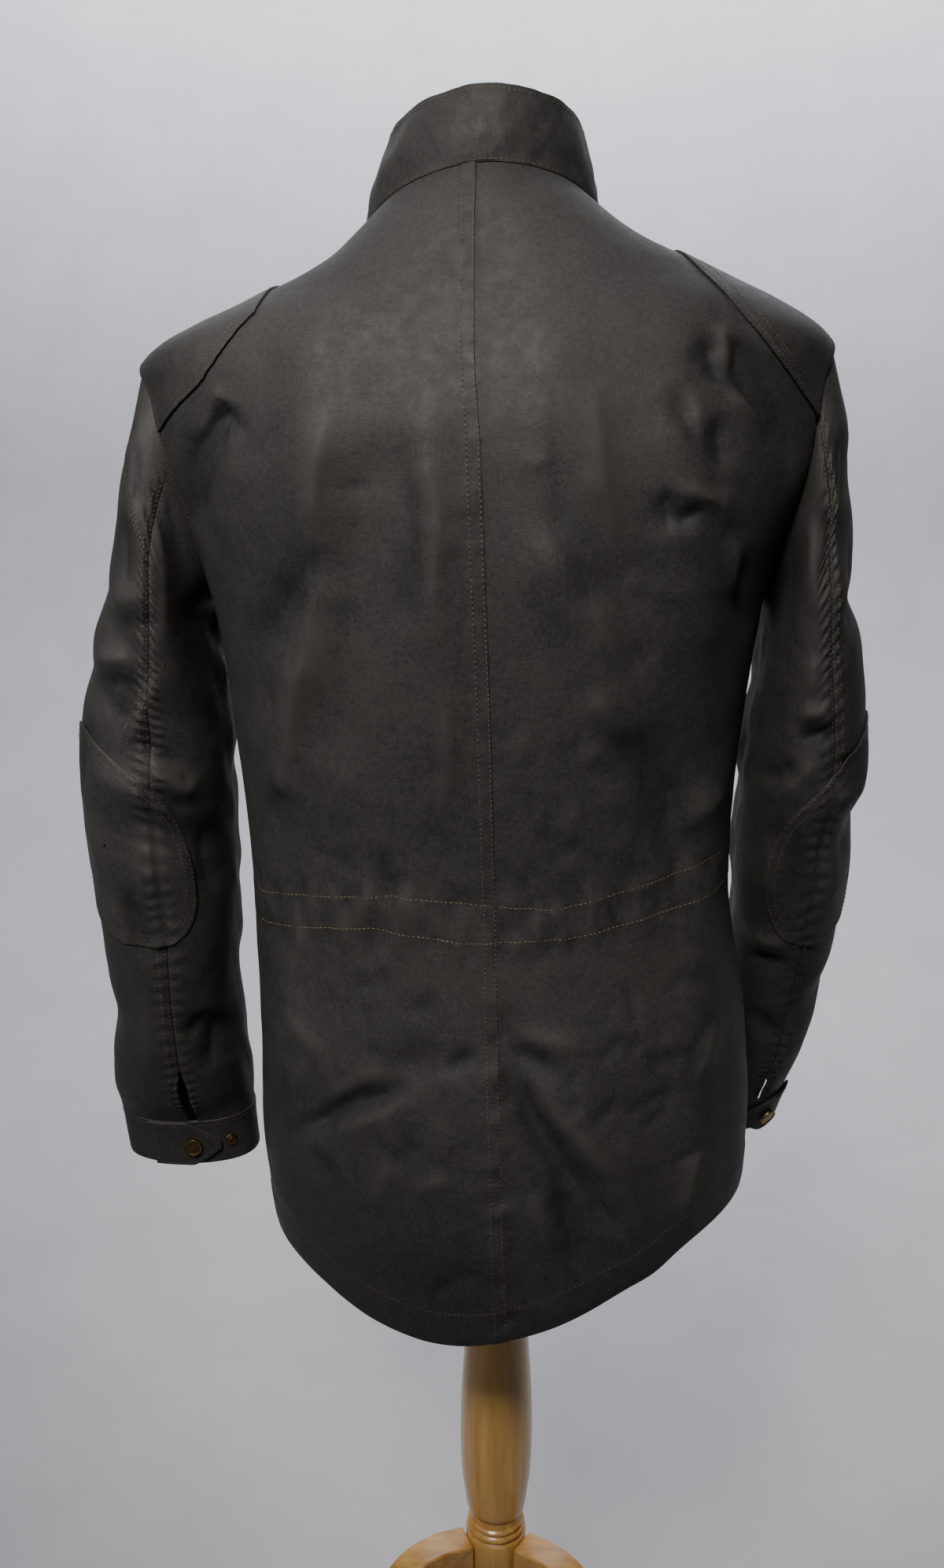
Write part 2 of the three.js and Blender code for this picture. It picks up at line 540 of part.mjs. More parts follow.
addMesh('front_placket', placketGeometry(), waxed);
for (let i = 0; i < 6; i += 1) {
  const place = 0.5 + i * snap.spacing;
  const lift = layGap * 2 + cloth.placket + 0.25;
  addSnap(`front_snap_${i + 1}`, bodySpot(-Math.PI / 2 + 0.06, place), lift, snap.capRadius, snap.capHeight);
}

// Sleeves: every piece of one sleeve is cut from the same rings of points
const sleeveColumns = 8;
const sleeveLevels = {
  head: evenly(0, headEnd - 0.004, 4),
  arm: evenly(headEnd + 0.004, cuffTop - 0.004, 18),
};

function sleeveLine(side, fromAngle, toAngle, place) {
  const armRadius = 60;
  const seams = sleeveSeams[side];
  const gapTurn = seamGap / 2 / armRadius;
  const opening = (THREE.MathUtils.clamp((place - vent.from) / 0.5, 0, 1) * vent.width) / 2 / armRadius;
  const start = THREE.MathUtils.degToRad(fromAngle) + gapTurn + (fromAngle === seams.rear ? opening : 0);
  const end = THREE.MathUtils.degToRad(toAngle) - gapTurn - (toAngle === seams.rear ? opening : 0);
  return evenly(start, end, sleeveColumns).map((turn) => sleeveSpot(side, turn, place));
}

function sleeveRings(side) {
  const { rear, fore } = sleeveSeams[side];
  const linesOf = (levels, from, to) => levels.map((place) => sleeveLine(side, from, to, place));
  return {
    head: linesOf(sleeveLevels.head, fore, rear),
    top: linesOf(sleeveLevels.arm, fore, rear),
    under: linesOf([...sleeveLevels.head, ...sleeveLevels.arm], rear, fore + 360),
  };
}

function ovalOutline(shape) {
  return Array.from({ length: 28 }, (_, i) => {
    const turn = (2 * Math.PI * i) / 28;
    const x = shape.halfWidth * signedPower(Math.cos(turn), 0.85);
    return [x, shape.halfHeight * signedPower(Math.sin(turn), 0.85) + shape.lean * x];
  });
}

// A punch that faces one spot of a sleeve from outside, with up along the arm, and reaches depth inwards
function sleevePunch(side, angle, place, outline, depth) {
  const turn = THREE.MathUtils.degToRad(angle);
  const spot = sleeveSpot(side, turn, place);
  const upward = sleevePoint(side, turn, place - 0.3).sub(sleevePoint(side, turn, place + 0.3));
  const right = new THREE.Vector3().crossVectors(upward, spot.normal).normalize();
  const up = new THREE.Vector3().crossVectors(spot.normal, right);
  return punch(outline, spot.point.addScaledVector(spot.normal, -depth), right, up, 120);
}

function elbowPatchGeometry(side, rings) {
  const shape = elbowPatch[side];
  const skinLines = rings.top.map((line, r) => [...line, ...rings.under[r + sleeveLevels.head.length]]);
  const near = skinLines.filter((line, r) => Math.abs(sleeveLevels.arm[r] - shape.place) < 3.2);
  const skin = solidOf(wall(near, layGap + cloth.patch, layGap, true));
  const depth = 0.95 * sample(sleeveRows[side], 'deep', shape.place - 1);
  return geometryOf(skin.intersect(sleevePunch(side, shape.angle, shape.place, ovalOutline(shape), depth)));
}

const cuffOut = 0.5;         // the cuff stands this much outside the sleeve's own line
const cuffColumns = 22;

function cuffSpots(side) {
  return evenly(cuffTop + 0.006, cuffTop + 1, 2).map((place) => (
    Array.from({ length: cuffColumns }, (_, i) => sleeveSpot(side, (2 * Math.PI * i) / cuffColumns, place))
  ));
}

function cuffTabGeometry(side, spots) {
  const inside = cuffOut + layGap;
  const skin = solidOf(wall(spots, inside + cloth.cuff, inside, true));
  const tab = cuffTab[side];
  const outline = [
    [tab.rear, -tabHeight.half], [tab.square, -tabHeight.half], [tab.tip, -tabHeight.tip],
    [tab.tip, tabHeight.tip], [tab.square, tabHeight.half], [tab.rear, tabHeight.half],
  ];
  const mirrored = side === 'right' ? outline.map(([x, y]) => [-x, y]).reverse() : outline;
  return geometryOf(skin.intersect(sleevePunch(side, tab.angle, cuffTop + 0.5, mirrored, tabHeight.half)));
}

for (const side of ['left', 'right']) {
  const rings = sleeveRings(side);
  addMesh(`sleeve_head_${side}`, wall(rings.head, 0, -cloth.shell), waxedPatch);
  addMesh(`top_sleeve_${side}`, wall(rings.top, 0, -cloth.shell), waxed);
  addMesh(`under_sleeve_${side}`, wall(rings.under, 0, -cloth.shell), waxed);
  addMesh(`elbow_patch_${side}`, elbowPatchGeometry(side, rings), waxedPatch);
  const spots = cuffSpots(side);
  addMesh(`cuff_${side}`, wall(spots, cuffOut, cuffOut - cloth.cuff, true), waxed);
  addMesh(`cuff_tab_${side}`, cuffTabGeometry(side, spots), waxed);
  const capSpot = sleeveSpot(side, THREE.MathUtils.degToRad(cuffTab[side].snapAngle), cuffTop + 0.5);
  addSnap(`cuff_snap_${side}`, capSpot, cuffOut + 2.5 * layGap + cloth.cuff, snap.capRadius, snap.capHeight);
  const studSpot = sleeveSpot(side, THREE.MathUtils.degToRad(cuffTab[side].studAngle), cuffTop + 0.5);
  addSnap(`cuff_stud_${side}`, studSpot, cuffOut + layGap, snap.studRadius, snap.studHeight);
}

// Dress form: the body's own rings, set inside the cloth, closed below and with a plain neck above
const formNeck = [
  { rise: 12, wide: 62, rear: 56, fore: 58 },
  { rise: 40, wide: 52, rear: 50, fore: 50 },
  { rise: 56, wide: 44, rear: 42, fore: 42 },
];
const formBase = { place: 1.25, clear: 0.4, flat: 0.72, rounded: 0.93, roundRise: 8 };
const neckBaseZ = 1330;

function formGeometry() {
  const around = 24;
  const rings = [];
  const ringOf = (pointAt) => Array.from({ length: around }, (_, i) => pointAt((2 * Math.PI * i) / around));
  const bottomZ = column.top + formBase.clear;
  const inset = (angle, place) => {
    const pointAt = (u, v) => ringPoint(bodyRows, u, v);
    const normal = surfaceNormal(pointAt, angle, place, 0.02, 0.05, 0, lastLevel);
    const share = THREE.MathUtils.smoothstep(place, formInset.from, formInset.to);
    const depth = THREE.MathUtils.lerp(formInset.body, formInset.shoulder, share);
    return pointAt(angle, place).addScaledVector(normal, -depth);
  };
  const base = ringOf((angle) => inset(angle, formBase.place));
  const { flat, rounded, roundRise } = formBase;
  rings.push(base.map((p) => new THREE.Vector3(p.x * flat, p.y * flat, bottomZ)));
  rings.push(base.map((p) => (
    new THREE.Vector3(p.x * rounded, p.y * rounded, bottomZ + roundRise + 0.1 * (p.z - bottomZ))
  )));
  for (const place of evenly(formBase.place, lastLevel, 11)) rings.push(ringOf((angle) => inset(angle, place)));
  const neck = bodyRows[lastLevel];
  for (const { rise, wide, rear, fore } of formNeck) {
    rings.push(ringOf((angle) => {
      const depth = Math.sin(angle) > 0 ? rear : fore;
      const tiltZ = ((neck.rearZ - neck.foreZ) / 2) * Math.sin(angle) * (1 - rise / 90);
      const x = neck.middle - rise * 0.06 + wide * Math.cos(angle);
      return new THREE.Vector3(x, depth * Math.sin(angle), neckBaseZ + rise + tiltZ);
    }));
  }
  const positions = [];
  const indices = [];
  rings.flat().forEach((p) => positions.push(p.x, p.y, p.z));
  const at = (r, i) => r * around + (i % around);
  for (let r = 0; r < rings.length - 1; r += 1) {
    for (let i = 0; i < around; i += 1) {
      indices.push(at(r, i), at(r, i + 1), at(r + 1, i + 1), at(r, i), at(r + 1, i + 1), at(r + 1, i));
    }
  }
  for (const r of [0, rings.length - 1]) {
    const centre = new THREE.Vector3();
    rings[r].forEach((p) => centre.addScaledVector(p, 1 / around));
    const hub = positions.length / 3;
    positions.push(centre.x, centre.y, centre.z);
    for (let i = 0; i < around; i += 1) {
      const pair = r === 0 ? [at(r, i + 1), at(r, i)] : [at(r, i), at(r, i + 1)];
      indices.push(hub, ...pair);
    }
  }
  return closedGeometry(positions, indices);
}

addMesh('dress_form', formGeometry(), material(colours.linen, 0.85));

// Turned column with its hub, and three legs cut from thick board
const turning = [
  // hub for the legs
  { z: 0, r: 0 }, { z: 0, r: 23 }, { z: 6, r: 26 }, { z: 104, r: 26 }, { z: 120, r: 26 },
  // beads
  { z: 122, r: 22 }, { z: 125, r: 25 }, { z: 128, r: 22 }, { z: 131, r: 24 }, { z: 134, r: 21.5 },
  { z: 142, r: 21.5 }, { z: 144, r: 24.5 }, { z: 152, r: 26 },
  // vase
  { z: 176, r: 29 }, { z: 215, r: 30.5 }, { z: 260, r: 29.5 }, { z: 300, r: 27 }, { z: 350, r: 24.5 },
  { z: 430, r: 23 },
  // head under the dress form
  { z: 440, r: 30 }, { z: 486, r: 30 }, { z: 486.6, r: 0 },
];

function columnGeometry() {
  const profile = turning.map(({ z, r }) => new THREE.Vector2(r, z));
  const geometry = new THREE.LatheGeometry(profile, 24);
  geometry.rotateX(Math.PI / 2);
  return geometry;
}

addMesh('column', columnGeometry(), material(colours.pine, 0.4), new THREE.Vector3(column.x, 0, column.foot));

// Outline of a leg: distance from the column's axis and height above the hub's underside
const legOutline = {
  start: [26.4, 118],
  upper: [
    [60, 121], [88, 110], [108, 84], [118, 46], [130, -8], [150, -62], [184, -112], [226, -142], [262, -150],
  ],
  toe: [278, -158],
  heel: 232,
  under: [[198, -160], [156, -136], [120, -96], [98, -50], [82, -8], [64, 18], [44, 28], [26.4, 27]],
};

function legGeometry() {
  const shape = new THREE.Shape();
  const points = (list) => list.map(([r, z]) => new THREE.Vector2(r, z));
  shape.moveTo(...legOutline.start);
  shape.splineThru(points(legOutline.upper));
  shape.lineTo(...legOutline.toe);
  shape.lineTo(legOutline.toe[0], -column.foot);
  shape.lineTo(legOutline.heel, -column.foot);
  shape.splineThru(points(legOutline.under));
  shape.closePath();
  const geometry = new THREE.ExtrudeGeometry(shape, { depth: leg.thickness, bevelEnabled: false, curveSegments: 2 });
  geometry.translate(0, 0, -leg.thickness / 2);
  geometry.rotateX(Math.PI / 2);
  return geometry;
}

leg.spread.forEach((degrees, i) => {
  const place = new THREE.Vector3(column.x, 0, column.foot);
  const mesh = addMesh(`leg_${i + 1}`, legGeometry(), material(colours.pine, 0.4), place);
  mesh.rotation.z = THREE.MathUtils.degToRad(degrees);
});

// The origin is on the floor under the middle of the whole part
const bounds = new THREE.Box3().setFromObject(group, true);
const origin = bounds.getCenter(new THREE.Vector3()).setZ(bounds.min.z);
for (const mesh of group.children) mesh.position.sub(origin);

export default group;
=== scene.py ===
import math

import bmesh
import bpy
import numpy as np
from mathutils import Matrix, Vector


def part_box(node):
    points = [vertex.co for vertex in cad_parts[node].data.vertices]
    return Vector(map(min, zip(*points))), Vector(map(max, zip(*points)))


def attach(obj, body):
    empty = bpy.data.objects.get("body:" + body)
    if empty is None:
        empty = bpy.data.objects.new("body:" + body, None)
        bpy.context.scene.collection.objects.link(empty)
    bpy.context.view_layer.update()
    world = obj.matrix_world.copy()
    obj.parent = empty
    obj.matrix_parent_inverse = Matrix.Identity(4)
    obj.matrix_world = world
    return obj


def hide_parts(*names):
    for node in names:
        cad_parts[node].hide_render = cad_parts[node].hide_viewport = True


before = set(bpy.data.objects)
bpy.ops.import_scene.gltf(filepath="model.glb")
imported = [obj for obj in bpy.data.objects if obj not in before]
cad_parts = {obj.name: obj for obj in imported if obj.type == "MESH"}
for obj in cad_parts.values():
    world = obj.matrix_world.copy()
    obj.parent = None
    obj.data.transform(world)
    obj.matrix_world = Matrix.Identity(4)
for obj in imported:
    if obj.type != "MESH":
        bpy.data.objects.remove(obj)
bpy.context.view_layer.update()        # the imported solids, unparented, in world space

print("stage: solids loaded")

# Every size below is in millimetres from the dress form's axis, +Z up, the wearer's left at +X and the
# back of the jacket at +Y. The column's solid says where that axis stands in the frame.
columnLow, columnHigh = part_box("column")
stand = {
    "axisX": -2.5,          # the column stands this far from the form's axis
    "foot": 168,            # underside of the hub
    "legTurns": (30, 150, 270),
    "legThickness": 25,
    "woodEdge": 3.5,        # rounding of the legs' edges
}
shift = np.array([
    500 * (columnLow[0] + columnHigh[0]) - stand["axisX"],
    500 * (columnLow[1] + columnHigh[1]),
    0.0,
])


# Camera, where the photograph was taken from
camera = {"place": (-69.8, 887.3, 1155.0), "pitchDown": 13.0, "heading": 185.67, "lens": 28.0}


def addCamera():
    data = bpy.data.cameras.new("camera")
    data.lens = camera["lens"]
    data.sensor_width = 36
    data.clip_end = 50
    view = bpy.data.objects.new("camera", data)
    view.location = (np.array(camera["place"]) + shift) / 1000
    view.rotation_euler = (math.radians(90 - camera["pitchDown"]), 0, math.radians(camera["heading"]))
    bpy.context.scene.collection.objects.link(view)
    bpy.context.scene.camera = view


addCamera()
print("stage: camera set")


# Surface of the body: one row for each level, from the hem to the neck seam
body = {
    "columns": ("sideZ", "rearZ", "foreZ", "wide", "rear", "fore", "square", "middle", "seamX", "tilt",
                "swing", "bow"),
    "rows": {
        "hem": (636, 587, 634, 184, 150, 136, 2.25, -5, -22, -30, -28, 5.5),
        "seat": (704, 672, 704, 189, 147, 138, 2.25, -3, -17, -23, -10, 3),
        "hip": (776, 762, 776, 185, 134, 134, 2.25, 0, -13, -19, 0, 2),
        "waist": (868, 866, 868, 178, 114, 124, 2.25, 8, -9, -16, 0, 2),
        "ribs": (980, 985, 980, 183, 124, 136, 2.25, 11, -7, -9, 0, 2),
        "armpit": (1098, 1104, 1095, 198, 137, 146, 2.35, 11, -4, -3, 0, 2),
        "blade": (1175, 1180, 1166, 224, 138, 143, 2.4, 12, -1, -3, 0, 2),
        "yoke": (1224, 1226, 1206, 232, 131, 134, 2.4, 13, 3, -4, 0, 2),
        "tip": (1257, 1262, 1236, 231, 120, 122, 2.35, 14, 5, -5, 0, 2),
        "shoulder": (1290, 1295, 1266, 166, 105, 107, 2.25, 13, 6.5, -8, 0, 2),
        "slope": (1310, 1330, 1288, 113, 89, 94, 2.1, 12, 7.5, -8, 0, 1.6),
        "neck": (1333, 1359, 1306, 80, 72, 80, 2, 11.6, 8, -5, 0, 1.3),
    },
    "wall": 1.6,            # thickness of the waxed cloth with its lining
    "gap": 0.3,             # between two pieces sewn edge to edge
    "drawn": {"rear": (250, 100), "fore": (220, 80)},
}
armhole = {"middle": 6.45, "reach": 1.556, "angle": math.radians(21.5) + 0.002,
           "inset": {"left": 2.4, "right": 1.3}}

# Main folds, as in the solids: face, line from and to as X and Z, half width, height
mainFolds = [
    ("rear", 105, 1235, 108, 1110, 20, 5), ("rear", 112, 1110, 150, 1030, 18, -5),
    ("rear", 67, 1165, 95, 1010, 20, -5), ("rear", 32, 1200, 26, 1010, 17, 4),
    ("rear", -41, 1230, -46, 1115, 20, 3), ("rear", -46, 1115, -95, 1020, 19, 5),
    ("rear", -79, 1192, -91, 1060, 16, -2), ("rear", -120, 1190, -136, 1080, 17, 5),
    ("rear", -106, 998, -134, 930, 15, -6), ("rear", 176, 1205, 196, 1140, 15, -6),
    ("rear", -150, 1250, -190, 1190, 15, -6), ("rear", 134, 1040, 160, 840, 18, 5),
    ("rear", -148, 960, -150, 690, 17, 5), ("rear", 108, 735, 45, 778, 15, -5),
    ("rear", -18, 800, -80, 690, 17, -5), ("rear", 140, 800, 148, 660, 17, 5),
    ("rear", -64, 760, -112, 650, 18, 5), ("fore", 118, 1190, 96, 1040, 20, 5),
    ("fore", -112, 1180, -88, 1030, 20, 5), ("fore", 74, 1130, 120, 960, 18, -5),
    ("fore", -78, 1120, -128, 950, 18, -5), ("fore", 138, 830, 146, 680, 18, 5),
    ("fore", -120, 820, -142, 670, 18, 5),
]


def columnsOf(piece):
    return {name: np.array([row[i] for row in piece["rows"].values()], float)
            for i, name in enumerate(piece["columns"])}


def smooth(low, high, value):
    t = np.clip((value - low) / (high - low), 0.0, 1.0)
    return t * t * (3 - 2 * t)


def sampleColumn(values, place):
    last = len(values) - 1
    index = np.clip(np.floor(place).astype(int), 0, last - 1)
    t = np.clip(place, 0, last) - index
    a, b, c, d = (values[np.clip(index + k, 0, last)] for k in (-1, 0, 1, 2))
    return 0.5 * (2 * b + t * (c - a + t * (2 * a - 5 * b + 4 * c - d + t * (3 * b - a - 3 * c + d))))


def signedPower(value, power):
    return np.sign(value) * np.abs(value) ** power


def ringPoint(table, angle, place):
    # angle 0 is the left side line and a quarter turn is the centre back
    get = {name: sampleColumn(values, place) for name, values in table.items()}
    across = signedPower(np.cos(angle), 2 / get["square"])
    depth = signedPower(np.sin(angle), 2 / get["square"])
    rear = depth >= 0
    endZ = np.where(rear, get["rearZ"], get["foreZ"])
    x = get["middle"] + (get["seamX"] - get["middle"]) * depth + get["wide"] * across
    y = depth * np.where(rear, get["rear"], get["fore"])
    z = (get["sideZ"] + (endZ - get["sideZ"]) * np.abs(depth) ** get["bow"]
         + across * (get["tilt"] + get["swing"] * depth ** 4))
    return np.stack([x, y, z], axis=-1)


def normalise(vectors):
    return vectors / np.maximum(np.linalg.norm(vectors, axis=-1, keepdims=True), 1e-9)


def normalOf(pointAt, u, v, stepU, stepV, highV):
    alongU = pointAt(u + stepU, v) - pointAt(u - stepU, v)
    alongV = pointAt(u, np.minimum(v + stepV, highV)) - pointAt(u, np.maximum(v - stepV, 0))
    return normalise(np.cross(alongU, alongV))


bodyTable = columnsOf(body)
lastLevel = len(body["rows"]) - 1


def foldLift(point):
    lift = np.zeros(point.shape[:-1])
    x, y, z = point[..., 0], point[..., 1], point[..., 2]
    for face, fromX, fromZ, toX, toZ, spread, height in mainFolds:
        runX, runZ = toX - fromX, toZ - fromZ
        length = math.hypot(runX, runZ)
        along = ((x - fromX) * runX + (z - fromZ) * runZ) / length
        off = ((x - fromX) * runZ - (z - fromZ) * runX) / length
        past = np.maximum(0, np.maximum(-along, along - length))
        here = (y >= 0) if face == "rear" else (y < 0)
        lift += here * height * np.exp(-(off / spread) ** 2 - (past / (1.3 * spread)) ** 2)
    return lift


def creaseLift(x, z, creases):
    # a crease is a line of X and Z points with a half width and a height, eased out at both ends
    lift = np.zeros_like(x)
    for points, width, height in creases:
        path = np.array(points, float)
        low = path.min(axis=0) - 2.6 * width
        high = path.max(axis=0) + 2.6 * width
        near = (x > low[0]) & (x < high[0]) & (z > low[1]) & (z < high[1])
        if not near.any():
            continue
        px, pz = x[near], z[near]
        closest = np.full(px.shape, 1e9)
        along = np.zeros_like(px)
        start = 0.0
        for (x0, z0), (x1, z1) in zip(path[:-1], path[1:]):
            length = math.hypot(x1 - x0, z1 - z0)
            t = np.clip(((px - x0) * (x1 - x0) + (pz - z0) * (z1 - z0)) / length ** 2, 0, 1)
            away = np.hypot(px - x0 - t * (x1 - x0), pz - z0 - t * (z1 - z0))
            closer = away < closest
            closest = np.where(closer, away, closest)
            along = np.where(closer, start + t * length, along)
            start += length
        ends = smooth(0, 0.4 * start, along) * smooth(0, 0.4 * start, start - along)
        lift[near] += height * ends * np.exp(-np.abs(closest / width) ** 1.3)
    return lift


def puckersAlong(path, every, length, width, height, seed, lean=0.0):
    # short creases that cross a sewn line, uneven in length, width and spacing
    rng = np.random.default_rng(seed)
    path = np.array(path, float)
    runs = np.hypot(*np.diff(path, axis=0).T)
    total = runs.sum()
    puckers = []
    s = every * rng.uniform(0.2, 1)
    while s < total:
        i = int(np.searchsorted(np.cumsum(runs), s))
        i = min(i, len(runs) - 1)
        t = (s - (np.cumsum(runs)[i] - runs[i])) / runs[i]
        centre = path[i] + (path[i + 1] - path[i]) * t
        run = (path[i + 1] - path[i]) / runs[i]
        cross = np.array([-run[1], run[0]]) + lean * run + run * rng.normal(0, 0.18)
        half = 0.5 * length * rng.uniform(0.5, 1.4)
        centre = centre + cross * rng.normal(0, 0.12) * length
        puckers.append(([centre - cross * half, centre + cross * half],
                        width * rng.uniform(0.7, 1.3), height * rng.uniform(0.5, 1.3) * rng.choice([1, -1])))
        s += every * rng.uniform(0.55, 1.5)
    return puckers


def crumples(fromX, toX, fromZ, toZ, count, length, width, height, seed):
    # short creases strewn over a stretch of cloth that has been sat in or tied round the waist
    rng = np.random.default_rng(seed)
    made = []
    for _ in range(count):
        centre = np.array([rng.uniform(fromX, toX), rng.uniform(fromZ, toZ)])
        turn = rng.uniform(0, math.pi)
        half = length * rng.uniform(0.3, 0.8) * np.array([math.cos(turn), math.sin(turn)])
        bend = rng.normal(0, 0.12) * length * np.array([-math.sin(turn), math.cos(turn)])
        made.append(([centre - half, centre + bend, centre + half], width * rng.uniform(0.7, 1.3),
                     height * rng.uniform(0.4, 1.2) * rng.choice([1, -1])))
    return made


def unevenness(point, size, seed):
    # soft swells of a few sines in uneven directions, about 1 high, for cloth that never lies quite even
    rng = np.random.default_rng(seed)
    total = np.zeros(point.shape[:-1])
    for k in range(7):
        direction = normalise(rng.normal(size=3))
        wave = 2 * math.pi / (size * rng.uniform(0.7, 1.7))
        warp = 1.3 * np.sin(point @ (normalise(rng.normal(size=3)) * wave * 0.45) + rng.uniform(0, 6))
        total += np.sin(point @ (direction * wave) + warp + rng.uniform(0, 6))
    return total / 3.2


# Lines sewn on the back, as X and Z seen from behind
backSeam = [(8, 1357), (3, 1240), (-1, 1191), (-3.5, 1121), (-7, 1025), (-8.5, 933), (-10, 893), (-12, 814),
            (-17, 713), (-20, 640), (-22, 588)]
waist = {
    "upper": [(170, 880), (60, 895), (-50, 890), (-165, 920)],
    "lower": [(170, 855), (80, 870), (10, 865), (-60, 870), (-165, 895)],
}
hemLift = 25                # the hem is turned up by this much

# Creases of the back: line as X and Z, half width, height
backCreases = [
    # hooked fold over the left armhole, and the lines that it drags down the back
    ([(140, 1190), (165, 1210), (190, 1190), (205, 1130)], 9, -8), ([(145, 1210), (170, 1220), (200, 1180)], 7, 5),
    ([(90, 1220), (100, 1170), (105, 1115)], 9, 4.5), ([(105, 1125), (135, 1085), (165, 1040)], 13, -4.5),
    ([(105, 1115), (115, 1060), (130, 1000)], 10, 5), ([(40, 1210), (25, 1150), (30, 1090), (20, 1040)], 9, 3.5),
    ([(50, 1205), (40, 1130), (45, 1060)], 9, -3), ([(115, 1210), (155, 1175)], 9, -1.5),
    # star of folds beside the right armhole
    ([(-150, 1225), (-145, 1255), (-160, 1250)], 6, 5), ([(-150, 1255), (-170, 1220), (-190, 1185)], 9, -9),
    ([(-145, 1225), (-180, 1195)], 6, 5), ([(-145, 1220), (-130, 1255)], 8, -4.5),
    ([(-140, 1170), (-110, 1225)], 9, -5), ([(-135, 1165), (-125, 1225)], 7, 4), ([(-140, 1210), (-145, 1170)], 8, -4.5),
    ([(-110, 1165), (-115, 1135)], 5, -4.5), ([(-115, 1140), (-135, 1155)], 6, -5),
    ([(-110, 1165), (-145, 1155), (-155, 1135)], 6, 4.5), ([(-165, 1130), (-165, 1095), (-175, 1065)], 8, -5.5),
    ([(-155, 1140), (-160, 1090)], 7, 4), ([(-40, 1240), (-50, 1140), (-90, 1050)], 10, -2.5),
    ([(-65, 1235), (-75, 1165), (-90, 1110)], 12, 4), ([(-65, 1110), (-90, 1050)], 10, 3),
    # between the blades and the waist
    ([(-100, 995), (-135, 940)], 8, -5), ([(-70, 1030), (-105, 980)], 8, -3.5), ([(-65, 1045), (-90, 1000)], 7, 4),
    ([(-130, 940), (-160, 970)], 7, 4.5), ([(25, 1045), (20, 985), (30, 945)], 5, 3),
    ([(145, 930), (130, 990), (120, 1050)], 8, 4), ([(155, 920), (135, 970)], 8, -4.5), ([(75, 910), (90, 850)], 6, 3.5),
    ([(65, 935), (70, 875)], 6, -3.5), ([(45, 920), (50, 860)], 6, 3), ([(145, 805), (125, 870)], 8, 3.5),
    # below the waist
    ([(145, 705), (90, 745), (45, 765)], 6, -7.5), ([(115, 715), (40, 760)], 7, 4.5), ([(135, 725), (80, 765), (40, 775)], 7, 5),
    ([(25, 775), (0, 795)], 5, -4.5), ([(-15, 790), (-45, 735), (-85, 680)], 8, -7.5), ([(-25, 790), (-55, 745), (-100, 700)], 8, 5),
    ([(-15, 805), (-75, 795)], 6, 3.5), ([(-15, 800), (-55, 780)], 6, -4), ([(-50, 715), (-75, 635)], 8, -5.5),
    ([(-35, 705), (-55, 650)], 8, 4), ([(40, 610), (10, 635), (-15, 630)], 6, -3), ([(140, 760), (150, 720), (135, 690)], 8, -5.5),
    ([(150, 800), (105, 765)], 7, 3), ([(-145, 765), (-165, 810)], 6, 3.5), ([(-135, 665), (-150, 730)], 6, 3.5),
    ([(50, 690), (15, 705)], 6, 3), ([(60, 715), (80, 665)], 8, 2.5),
]
# The photograph doesn't show the front: creases like those of the back, from the arms and at the waist
frontCreases = [
    ([(150, 1222), (128, 1170), (118, 1110)], 9, -3.4), ([(-150, 1216), (-124, 1168), (-108, 1108)], 9, -3.4),
    ([(168, 1196), (150, 1150), (142, 1100)], 8, 2.6), ([(-170, 1190), (-150, 1146), (-140, 1090)], 8, 2.6),
    ([(80, 1220), (70, 1160), (62, 1110)], 12, 2.0), ([(-52, 1214), (-46, 1160), (-40, 1100)], 12, 2.0),
    ([(120, 1010), (104, 970), (96, 930)], 8, 2.2), ([(-104, 1000), (-92, 960), (-88, 925)], 8, 2.2),
    ([(140, 970), (136, 920), (142, 880)], 8, -2.4), ([(-128, 966), (-124, 920), (-128, 880)], 8, -2.4),
    ([(66, 930), (58, 890), (60, 850)], 7, -1.8), ([(-44, 930), (-40, 890), (-40, 850)], 7, -1.8),
    ([(100, 850), (112, 800), (116, 750)], 9, 2.0), ([(-84, 850), (-98, 800), (-102, 745)], 9, 2.0),
    ([(62, 800), (76, 752), (80, 700)], 9, -2.0), ([(-52, 790), (-64, 742), (-70, 690)], 9, -2.0),
    ([(128, 720), (132, 690), (128, 655)], 8, -2.0), ([(-110, 726), (-118, 700), (-120, 668)], 8, 1.8),
]
backCreases += puckersAlong(waist["upper"], 12, 32, 3.4, 1.9, 11)
backCreases += puckersAlong(waist["lower"], 12, 36, 3.6, 2.0, 12)
backCreases += puckersAlong([(x + 5, z) for x, z in backSeam if z > 780], 12, 13, 2.6, 0.8, 13)
backCreases += puckersAlong([(x + 5, z) for x, z in backSeam if z < 830], 8, 20, 2.8, 1.7, 16, 0.5)
backCreases += crumples(25, 150, 690, 835, 34, 26, 4, 1.8, 17)
backCreases += crumples(-150, -20, 660, 845, 36, 28, 4, 1.8, 18)
backCreases += crumples(-150, 150, 895, 1010, 34, 28, 4.5, 1.5, 19)
backCreases += crumples(-140, 130, 1010, 1200, 22, 30, 5, 1.1, 20)
frontCreases += puckersAlong([(-160, 905), (-60, 890), (60, 880), (165, 862)], 13, 30, 3.4, 1.1, 14)
frontCreases += puckersAlong([(-160, 880), (-60, 864), (60, 854), (165, 836)], 13, 30, 3.4, 1.1, 15)


def armholeEdge(place):
    off = np.clip((place - armhole["middle"]) / armhole["reach"], -1, 1)
    return armhole["angle"] * np.sqrt(1 - off * off)


def edgeAngle(distance, halfSize, square):
    return np.arcsin(np.minimum(1, (distance / halfSize) ** (square / 2)))


def lineDistance(x, z, path):
    # how far above a sewn line that runs across a point is
    path = sorted(path)
    return z - np.interp(x, [p[0] for p in path], [p[1] for p in path])


